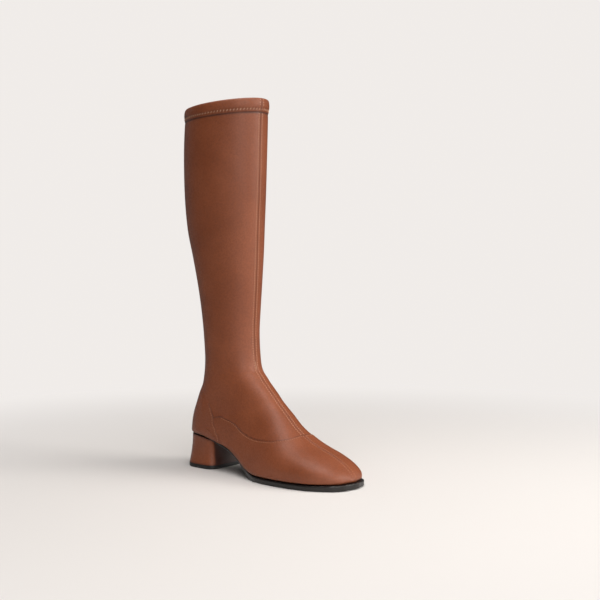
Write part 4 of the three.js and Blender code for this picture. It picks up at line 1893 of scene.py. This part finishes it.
    def build(self) -> None:
        """Sews all the rows."""
        vamp = self.edge_row(VAMP, 0.02, 0.80, 1.7, SEAMS.vamp_out - 0.1)
        counter = self.edge_row(COUNTER, 0.46, 0.985, 1.9, SEAMS.counter_out - 0.1)
        rows = {
            "front_stitches": (self.front_rows(self.front_spans()[:2]), self.length),
            "vamp_front_stitches": (self.front_rows(self.front_spans()[2:]), self.length),
            "zip_stitches": (self.zip_rows(), self.length),
            "vamp_stitches": (vamp, self.length),
            "counter_stitches": (counter, self.length),
            "hem_stitches": (self.hem_row(), self.hem_length),
        }
        for name, (frames, length) in rows.items():
            piece = Bench.repeat(name, self.model(length), frames)
            Bench.smooth(piece, 80)
            hidden = name.startswith(("vamp", "counter"))
            SHOP.deliver(piece, BROWN_THREAD if hidden else TAN_THREAD)


UPPER = Upper()


# ------------------------------------------------------------------ sole and heel
@dataclass(frozen=True)
class Sole:
    """Outsole, insole, heel block and top lift."""

    gap: float = 0.3
    seat: float = 0.9
    waist: float = 3.0
    tread: float = 6.2
    seat_ledge: float = 0.2
    welt_ledge: float = 3.0
    toe_ledge: float = 1.4
    insole: float = 2.4
    wall: float = 1.8
    lift: float = 4.5
    heel_rows: tuple[tuple[float, float, float, float], ...] = (
        (0.00, -24.8, 17.6, 27.6), (0.30, -26.5, 16.6, 26.5),
        (0.65, -28.8, 17.2, 26.6), (1.00, -31.6, 19.4, 28.2),
    )
    heel_back_square: float = 2.6
    heel_front_square: float = 5.0

    def thickness(self, x: Array) -> Array:
        """Thickness of the outsole along the boot."""
        forward = (self.tread - self.waist) * ease(55, 98, x)
        return self.seat + (self.waist - self.seat) * ease(10, 55, x) + forward

    def top(self, x: Array) -> Array:
        """Height of the outsole's upper face."""
        return LAST.feather(x) - self.gap

    def bottom(self, x: Array) -> Array:
        """Height of the outsole's lower face."""
        free = self.top(x) - self.thickness(x)
        return np.where((x > 100) & (x < 150), 0.0, np.maximum(free, 0.0))

    def ledge(self, x: Array) -> Array:
        """How far the outsole stands out from the feather line."""
        welt = (self.welt_ledge - self.seat_ledge) * ease(70, 115, x)
        return self.seat_ledge + welt + self.toe_ledge * ease(150, 205, x)

    def plate(
        self, name: str, plan: Plan, low: Callable[[Array], Array],
        high: Callable[[Array], Array], slices: int, across: int, rounding: float,
    ) -> Piece:
        """A plate of a plan outline between two heights.

        Args:
            name: name of the piece.
            plan: its outline.
            low: height of its lower face over x.
            high: height of its upper face over x.
            slices: cross slices along it.
            across: steps across it.
            rounding: radius of its upper rim.

        Returns:
            The piece.
        """
        x = plan.slices(slices)
        left, right = plan.sides(x)
        share = (1 - np.cos(np.linspace(0, HALF, across + 1))) / 2
        y = left[:, None] + (right - left)[:, None] * share
        places = np.stack([np.broadcast_to(x[:, None], y.shape), y, np.zeros_like(y)], -1)
        flat = places[..., :2].reshape(-1, 1, 2)
        away = np.sqrt(((flat - plan.loop[None]) ** 2).sum(-1)).min(1).reshape(y.shape)
        away[:, 0] = away[:, -1] = 0
        away[0] = away[-1] = 0
        radius = np.minimum(rounding, 0.36 * (high(x) - low(x)))[:, None]
        drop = radius * dropped(away, radius)
        places[..., 2] = high(x)[:, None] - drop
        piece = Bench.sheet(name, places)
        Bench.face_out(piece, np.array([0, 0, 1.0]), len(piece.data.polygons) // 2)
        top = Bench.points(piece)
        Bench.edit(
            piece,
            lambda: bpy.ops.mesh.extrude_region_move(TRANSFORM_OT_translate={"value": (0, 0, -0.1)}),
        )
        points = Bench.points(piece)
        lower = points[:, 2] < top[:, 2].min() - 20
        bottom = low(x)[:, None] + 0.5 * drop
        points[lower, 2] = bottom.ravel()[self.nearest(points[lower, :2], places.reshape(-1, 3)[:, :2])]
        Bench.put_points(piece, points)
        Bench.edit(piece, lambda: bpy.ops.mesh.normals_make_consistent(inside=False))
        return piece

    @staticmethod
    def nearest(wanted: Array, known: Array) -> Array:
        """Numbers of the known points that lie at the wanted ones.

        Args:
            wanted: points to look up.
            known: points to look among.

        Returns:
            For each wanted point, the number of the known one closest to it.
        """
        found = []
        for part in np.array_split(wanted, 24):
            found.append(((part[:, None] - known[None]) ** 2).sum(-1).argmin(1))
        return np.concatenate(found)

    def outsole(self) -> Piece:
        """The outsole with its rounded, burnished edge.

        Returns:
            The piece.
        """
        plan = Plan(self.ledge)
        piece = self.plate("outsole_edge", plan, self.bottom, self.top, 190, 44, 1.7)
        Bench.smooth(piece, 62)
        return SHOP.deliver(piece, SOLE_EDGE, stands_for=("outsole",))

    def sock(self) -> Piece:
        """The insole with its leather sock.

        Returns:
            The piece.
        """
        plan = Plan(lambda x: np.full_like(x, -(self.wall + 2 * self.gap)))
        piece = self.plate(
            "sock", plan, LAST.feather, lambda x: LAST.feather(x) + self.insole, 90, 24, 0.6
        )
        Bench.smooth(piece, 50)
        return SHOP.deliver(piece, LINING, stands_for=("insole",))

    def heel_ring(self, drop: Array, turn: Array, grow: float = 0.0) -> Array:
        """Plan of the heel block.

        Args:
            drop: 0 at the seat to 1 at the top lift.
            turn: angles round it.
            grow: extra width all round.

        Returns:
            Places, their height still zero.
        """
        size = along_rows(np.array(self.heel_rows), drop)
        back, front, half = size[..., 0], size[..., 1], size[..., 2]
        c, w = np.cos(turn), np.sin(turn)
        square = np.where(c < 0, self.heel_back_square, self.heel_front_square)
        swell = swelled(turn, square)
        x = (back + front) / 2 + c * swell * ((front - back) / 2 + grow)
        y = w * swell * (half + grow)
        return np.stack([x, y, np.zeros_like(x)], -1)

    @staticmethod
    def ring_turns(count: int = 144) -> Array:
        """Even steps of angle round the heel."""
        return np.linspace(0, FULL, count + 1)

    def heel(self) -> Piece:
        """The heel block, covered in the upper's leather.

        Returns:
            The piece.
        """
        drop = np.concatenate([[0, 0.012, 0.03], np.linspace(0.06, 0.94, 26), [0.975, 0.99, 1.0]])
        drop = drop[:, None]
        places = self.heel_ring(*np.broadcast_arrays(drop, self.ring_turns()[None, :]))
        seat = self.bottom(places[..., 0]) - self.gap
        foot = self.lift + self.gap
        places[..., 2] = seat + (foot - seat) * drop
        piece = Bench.sheet("heel_block", places)
        # painted shade at the top and bottom rims and on the breast, which lies under the arch; the breast's
        # dark also stands for a darker breast cover
        rims = 0.6 * bump(drop, 0, 0.06) + 0.5 * bump(drop, 1, 0.05)
        front = along_rows(np.array(self.heel_rows), drop)[..., 1]
        shade_and_burnish = np.clip(rims + 1.3 * ease(-1.6, -0.3, places[..., 0] - front), 0, 1.4)
        Bench.mask(piece, "shade_and_burnish", shade_and_burnish)
        Bench.cap(piece)
        Bench.smooth(piece, 40)
        return SHOP.deliver(piece, COGNAC, stands_for=("heel",))

    def top_lift(self) -> Piece:
        """The black wearing piece, its rims rounded.

        Returns:
            The piece.
        """
        turn = self.ring_turns()
        rounding = 0.5
        rings = [
            (self.lift, -rounding), (self.lift - 0.15, -0.15), (self.lift - rounding, 0.0),
            (rounding, -0.05), (0.15, -0.2), (0.0, -0.6),
        ]
        places = []
        for height, inset in rings:
            ring = self.heel_ring(np.ones_like(turn), turn, 0.12 + inset)
            ring[:, 2] = height
            places.append(ring)
        piece = Bench.sheet("top_lift", np.array(places))
        Bench.cap(piece)
        Bench.smooth(piece, 35)
        return SHOP.deliver(piece, LIFT_RUBBER, stands_for=("heel_top_lift",))

    def build(self) -> None:
        """Builds sole, sock, heel and lift."""
        self.outsole()
        self.sock()
        self.heel()
        self.top_lift()


# ------------------------------------------------------------------ zip
@dataclass(frozen=True)
class Zip:
    """Tape, two rows of teeth, slider, ring and leather tab."""

    tape_width: float = 24.0
    tape_thickness: float = 0.6
    tape_out: float = -0.95
    tooth_pitch: float = 1.5
    teeth_start: float = 0.27
    teeth_out: float = -0.9
    slider_depth: float = 7.0
    plate_out: float = 2.4
    hinge_out: float = 5.0
    hinge_down: float = 1.5
    pull_length: float = 10.0
    pull_width: float = 7.0
    wire: float = 1.2
    ring_square: float = 3.2
    tab_square: float = 5.0
    tab_pitch: float = 2.2
    tab_face: float = 1.08
    tab_rows: tuple[Triple, ...] = (
        (1.9, 1.5, 0.35), (1.5, 1.7, 0.9), (0.6, 1.8, 1.45), (-0.6, 1.85, 1.55),
        (-2.0, 2.0, 1.5), (-3.6, 2.6, 1.4), (-5.2, 3.3, 1.3), (-7.0, 3.6, 1.22),
        (-12.0, 3.85, 1.15), (-18.0, 4.0, 1.1), (-23.0, 4.0, 1.1), (-25.5, 3.85, 1.1),
        (-27.0, 3.2, 1.05), (-27.8, 1.9, 1.0), (-28.0, 0.6, 0.9),
    )
    tab_seam: tuple[tuple[float, float], ...] = (
        (-2.9, -6.5), (-3.1, -14.0), (-3.15, -22.0), (-2.6, -25.6), (0.0, -26.7),
        (2.6, -25.6), (3.15, -22.0), (3.1, -14.0), (2.9, -6.5),
    )

    def tape(self) -> Piece:
        """The woven tape behind the slot.

        Returns:
            The piece.
        """
        t = np.linspace(0.03, SEAMS.zip_end + 0.2, 160)[:, None]
        line = SEAMS.zip_turn(t)
        across = np.linspace(-0.5, 0.5, 17)[None, :] * self.tape_width
        turn = line + across / LAST.per_turn(t, line)
        t = np.broadcast_to(t, turn.shape)
        piece = Bench.sheet("zip_tape_woven", LAST.off(t, turn, self.tape_out))
        Bench.thicken(piece, LAST.normal(t[0, :1], turn[0, :1])[0], self.tape_thickness)
        return SHOP.deliver(piece, TAPE, stands_for=("zip_tape",))

    def tooth(self) -> Piece:
        """One tooth: a leg on the tape and a narrower head that hooks to the other side.

        Returns:
            The tooth at the origin.
        """
        Bench.clear()
        bpy.ops.mesh.primitive_cube_add(size=1)
        piece = bpy.context.object
        piece.scale = (0.95 * MM, 1.5 * MM, 1.9 * MM)
        piece.location = (0, 1.55 * MM, -0.1 * MM)
        Bench.settle(piece)
        Bench.pick_faces(piece, lambda centre, normal: normal.y < -0.9)
        bpy.ops.object.mode_set(mode="EDIT")
        bpy.ops.mesh.select_mode(type="FACE")
        bpy.ops.mesh.extrude_region_move(TRANSFORM_OT_translate={"value": (0, -0.55 * MM, 0)})
        bpy.ops.transform.resize(value=(0.8, 1, 0.7))
        bpy.ops.mesh.extrude_region_move(TRANSFORM_OT_translate={"value": (0, -0.65 * MM, 0)})
        bpy.ops.transform.resize(value=(0.9, 1, 0.85))
        bpy.ops.mesh.select_mode(type="VERT")
        bpy.ops.object.mode_set(mode="OBJECT")
        Bench.soften(piece, 0.14, 1)
        return piece

    def teeth(self) -> Piece:
        """Both rows of teeth, each row half a pitch from the other.

        Returns:
            The piece.
        """
        t = np.linspace(self.teeth_start + 0.06, SEAMS.zip_end - 0.1, 1200)
        line = SEAMS.zip_turn(t)
        points = LAST.off(t, line, self.teeth_out)
        run = run_along(points)
        frames = []
        for side in (1, -1):
            at = np.arange(self.tooth_pitch * (0.5 if side > 0 else 1.0), run[-1], self.tooth_pitch)
            normal = LAST.normal(np.interp(at, run, t), np.interp(at, run, line))
            along = (read_along(at + 0.4, run, points) - read_along(at - 0.4, run, points)) * side
            frames.append(Stitching.basis(read_along(at, run, points), along, normal))
        piece = Bench.repeat("zip_teeth_rows", self.tooth(), np.concatenate(frames))
        Bench.smooth(piece, 30)
        return SHOP.deliver(piece, BRASS, stands_for=("zip_teeth",))

    def slider_frame(self) -> Matrix:
        """Axes at the slider: x along the leather to the front, y out of the leg, z up.

        Returns:
            The axes, with their origin in metres.
        """
        t = self.slider_depth / LAST.collar_step
        turn = float(SEAMS.zip_turn(np.array(t)))
        place = LAST.point(np.array(t), np.array(turn))
        out = LAST.normal(np.array(t), np.array(turn)) * [1, 1, 0]
        out = Vector(out).normalized()
        along = Vector((out.y, -out.x, 0))
        basis = Matrix((along, out, Vector((0, 0, 1)))).transposed().to_4x4()
        return Matrix.Translation(Vector(place) * MM) @ basis

    def plate(self, size: Triple, corner: float, edge: float) -> Piece:
        """A plate with round corners and soft edges, facing Y.

        Args:
            size: width, thickness and height.
            corner: radius of its four corners.
            edge: radius of its edges.

        Returns:
            The plate at the origin.
        """
        Bench.clear()
        bpy.ops.mesh.primitive_cube_add(size=1)
        piece = bpy.context.object
        piece.scale = [value * MM for value in size]
        Bench.settle(piece)
        Bench.unpick(piece)
        for line in piece.data.edges:
            ends = [piece.data.vertices[v].co for v in line.vertices]
            line.select = abs(ends[0].y - ends[1].y) > size[1] * MM / 2
        Bench.only(piece)
        bpy.ops.object.mode_set(mode="EDIT")
        bpy.ops.mesh.select_mode(type="EDGE")
        bpy.ops.mesh.bevel(offset=corner * MM, segments=6, affect="EDGES")
        bpy.ops.mesh.select_mode(type="VERT")
        bpy.ops.object.mode_set(mode="OBJECT")
        Bench.soften(piece, edge, 3)
        return piece

    def place(self, piece: Piece, x: float, y: float, z: float) -> None:
        """Moves a piece from the slider's own axes to the boot.

        Args:
            piece: the piece.
            x: millimetres along the leather from the slider, to the front.
            y: millimetres out of the leg.
            z: millimetres up.
        """
        piece.matrix_world = self.slider_frame() @ Matrix.Translation(Vector((x, y, z)) * MM)
        Bench.settle(piece)

    @staticmethod
    def join(name: str, *parts: Piece) -> Piece:
        """Joins parts into one piece.

        Args:
            name: name of the piece.
            parts: the parts.

        Returns:
            The piece.
        """
        Bench.only(parts[0])
        for part in parts:
            part.select_set(True)
        bpy.ops.object.join()
        piece = bpy.context.object
        piece.name = name
        return piece

    def slider(self) -> Piece:
        """The slider: a shield plate, its back plate, and a bridge for the pull.

        Returns:
            The piece.
        """
        front = self.plate((7.6, 1.4, 12.0), 2.2, 0.35)
        self.place(front, 0, self.plate_out, 0)
        post = self.plate((2.0, 3.2, 5.0), 0.7, 0.2)
        self.place(post, 0, self.plate_out - 1.6, 2.4)
        Bench.clear()
        bpy.ops.mesh.primitive_torus_add(
            major_segments=40, minor_segments=12, major_radius=2.9 * MM, minor_radius=0.62 * MM,
            rotation=(0, HALF / 2, 0),
        )
        bridge = bpy.context.object
        bridge.scale = (1.15, 0.72, 1.0)
        Bench.settle(bridge)
        self.place(bridge, 0, self.plate_out + 1.15, -0.2)
        piece = self.join("zip_slider_body", front, post, bridge)
        Bench.smooth(piece, 40)
        return SHOP.deliver(piece, BRASS, stands_for=("zip_slider",))

    def ring(self) -> Piece:
        """The wire ring between slider and tab.

        Returns:
            The piece.
        """
        Bench.clear()
        bpy.ops.mesh.primitive_torus_add(
            major_segments=56, minor_segments=12, major_radius=1.0 * MM, minor_radius=0.24 * MM,
            rotation=(HALF / 2, 0, 0),
        )
        piece = bpy.context.object
        Bench.settle(piece)
        points = Bench.points(piece)
        angle = np.arctan2(points[:, 2], points[:, 0])
        distance = np.hypot(points[:, 0], points[:, 2]) - 1.0
        swell = swelled(angle, self.ring_square)
        half_x, half_z = (self.pull_width - self.wire) / 2, (self.pull_length - self.wire) / 2
        thick = self.wire / 0.48
        x = np.cos(angle) * (swell * half_x + distance * thick)
        z = np.sin(angle) * (swell * half_z + distance * thick)
        Bench.put_points(piece, np.stack([x, points[:, 1] * thick, z], 1))
        piece.name = "pull_ring"
        self.place(piece, 0, self.hinge_out, -self.hinge_down - half_z)
        Bench.smooth(piece, 60)
        return SHOP.deliver(piece, BRASS, Body.PULL, stands_for=("zip_pull",))

    def tab(self) -> Piece:
        """The leather tab, folded round the ring and sewn.

        Returns:
            The piece that holds its stitches.
        """
        z, half, thick = np.array(self.tab_rows).T
        rounds = np.linspace(0, FULL, 41)
        swell = swelled(rounds, self.tab_square)
        x = half[:, None] * (np.cos(rounds) * swell)[None, :]
        y = thick[:, None] * (np.sin(rounds) * swell)[None, :]
        height = np.broadcast_to(z[:, None], x.shape)
        piece = Bench.sheet("pull_tab", np.stack([x, y, height], -1))
        Bench.cap(piece)
        Bench.modify(piece, "SUBSURF", levels=1, render_levels=1)
        self.place(piece, 0, self.hinge_out, -self.hinge_down + self.wire - self.pull_length)
        Bench.smooth(piece, 60)
        SHOP.deliver(piece, TAB_LEATHER, Body.PULL, stands_for=("zip_pull_tab",))
        return self.tab_stitches()

    def tab_stitches(self) -> Piece:
        """The stitches round the tab's rim, on both faces.

        Returns:
            The piece.
        """
        line = np.array(self.tab_seam)
        run = run_along(line)
        at = np.arange(1.0, run[-1], self.tab_pitch)
        frames = []
        for face in (-1, 1):
            place = np.insert(read_along(at, run, line), 1, face * self.tab_face, axis=1)
            ahead = read_along(at + 0.3, run, line) - read_along(at - 0.3, run, line)
            along = np.insert(ahead, 1, 0.0, axis=1)
            normal = np.broadcast_to([0, face, 0], place.shape)
            frames.append(Stitching.basis(place, along, normal))
        piece = Bench.repeat("tab_stitches", Stitching(radius=0.22).model(1.5), np.concatenate(frames))
        self.place(piece, 0, self.hinge_out, -self.hinge_down + self.wire - self.pull_length)
        Bench.smooth(piece, 80)
        return SHOP.deliver(piece, TAN_THREAD, Body.PULL)

    def build(self) -> None:
        """Builds the whole zip."""
        self.tape()
        self.teeth()
        self.slider()
        self.ring()
        self.tab()


# ------------------------------------------------------------------ studio
@dataclass(frozen=True)
class Softbox:
    """An area light, placed by the camera's own directions and aimed at the boot."""

    name: str
    right: float
    toward: float
    up: float
    width: float
    height: float
    power: float
    colour: Triple
    aim: float = 0.22


@dataclass(frozen=True)
class Studio:
    """A pale seamless floor, soft lights and the camera."""

    azimuth: float = 40.0
    elevation: float = 1.5
    distance: float = 1.083
    lens: float = 56.76
    target: Triple = (0.135, 0.0, 0.207)
    floor_radius: float = 14.0
    pale: tuple[float, float, float, float] = (0.875, 0.84, 0.815, 1.0)
    ambient: float = 0.12
    lights: tuple[Softbox, ...] = (
        Softbox("key", 1.6, 0.3, 0.82, 1.0, 1.6, 30.0, (1.0, 0.965, 0.92)),
        Softbox("top", 0.0, 0.25, 1.9, 1.3, 1.2, 28.0, (1.0, 0.97, 0.955), 0.1),
        Softbox("fill", 0.6, 2.1, 0.62, 1.1, 1.0, 21.0, (1.0, 0.97, 0.95), 0.1),
        Softbox("rim", -1.25, -1.0, 0.7, 0.5, 1.5, 0.7, (0.80, 0.90, 1.0)),
    )

    def floor(self) -> None:
        """A round floor that fades into the pale surroundings."""
        radii = np.array([0.01, 0.2, 0.5, 1.0, 2.0, 4.0, 8.0, self.floor_radius])[:, None]
        turn = np.linspace(0, FULL, 97)[None, :]
        x = self.target[0] + radii * np.cos(turn)
        y = self.target[1] + radii * np.sin(turn)
        piece = Bench.sheet("studio_floor", np.stack([x, y, np.zeros_like(x)], -1) / MM)
        Bench.edit(piece, lambda: bpy.ops.mesh.remove_doubles(threshold=1e-5))
        Bench.face_out(piece, np.array([0, 0, 1.0]))
        material, hand, shader, place = open_material("pale_floor")
        cloud = hand.add("ShaderNodeTexNoise", {"Vector": place, "Scale": 1.2, "Detail": 2.0})
        colour = hand.blend(cloud.outputs["Fac"], (0.74, 0.72, 0.70, 1), (0.72, 0.70, 0.68, 1))
        hand.link(colour, shader.inputs["Base Color"])
        shader.inputs["Roughness"].default_value = 0.85
        shader.inputs["Specular IOR Level"].default_value = 0.2
        centre = (*self.target[:2], 0.0)
        middle = hand.add("ShaderNodeVectorMath", {0: place, 1: centre}, operation="DISTANCE")
        far = hand.step(middle.outputs["Value"], 0.22, 0.95)
        rays = hand.add("ShaderNodeLightPath")
        seen = hand.math("ADD", hand.math("MULTIPLY", rays.outputs["Is Camera Ray"], 0.75), 0.25)
        glow = hand.add("ShaderNodeEmission", {"Color": self.pale, "Strength": seen})
        mixed = hand.add("ShaderNodeMixShader", {0: far, 1: shader.outputs[0], 2: glow.outputs[0]})
        hand.link(mixed.outputs[0], material.node_tree.nodes["Material Output"].inputs["Surface"])
        piece.data.materials.append(material)

    def light(self, box: Softbox) -> None:
        """Hangs a softbox.

        Args:
            box: the softbox.
        """
        a = math.radians(self.azimuth)
        to_right = Vector((math.cos(a), math.sin(a), 0))
        to_camera = Vector((math.sin(a), -math.cos(a), 0))
        place = Vector((self.target[0], self.target[1], 0)) + to_right * box.right + to_camera * box.toward
        place.z = box.up
        data = bpy.data.lights.new(box.name, "AREA")
        data.shape = "RECTANGLE"
        data.size = box.width
        data.size_y = box.height
        data.energy = box.power
        data.color = box.colour
        lamp = bpy.data.objects.new(box.name, data)
        lamp.location = place
        aim = Vector((self.target[0], self.target[1], box.aim)) - place
        lamp.rotation_euler = aim.to_track_quat("-Z", "Y").to_euler()
        bpy.context.collection.objects.link(lamp)

    def camera(self) -> None:
        """The camera, level with the calf and turned to the outer front quarter."""
        a, e = math.radians(self.azimuth), math.radians(self.elevation)
        back = Vector((math.sin(a) * math.cos(e), -math.cos(a) * math.cos(e), math.sin(e)))
        data = bpy.data.cameras.new("camera")
        data.lens = self.lens
        data.sensor_width = 36.0
        data.clip_end = 50.0
        camera = bpy.data.objects.new("camera", data)
        camera.location = Vector(self.target) + back * self.distance
        camera.rotation_euler = back.to_track_quat("Z", "Y").to_euler()
        bpy.context.collection.objects.link(camera)
        bpy.context.scene.camera = camera

    def world(self) -> None:
        """Pale surroundings that light the boot only a little."""
        world = bpy.data.worlds.new("studio")
        world.use_nodes = True
        hand = Nodes(world.node_tree)
        background = world.node_tree.nodes["Background"]
        background.inputs["Color"].default_value = self.pale
        rays = hand.add("ShaderNodeLightPath")
        seen = hand.math("MULTIPLY", rays.outputs["Is Camera Ray"], 1 - self.ambient)
        hand.link(hand.math("ADD", seen, self.ambient), background.inputs["Strength"])
        bpy.context.scene.world = world
        bpy.context.scene.view_settings.view_transform = "Standard"

    def build(self) -> None:
        """Sets the stage."""
        self.floor()
        self.camera()
        self.world()
        for box in self.lights:
            self.light(box)


def main() -> None:
    """Builds the boot, piece by piece."""
    logging.basicConfig(level=logging.INFO, format="%(name)s: %(message)s")
    Studio().build()
    UPPER.build()
    Sole().build()
    Zip().build()
    Stitching().build()
    LOG.info("%d pieces on %d nodes", SHOP.count, len(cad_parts))


if __name__ == "__main__":
    main()
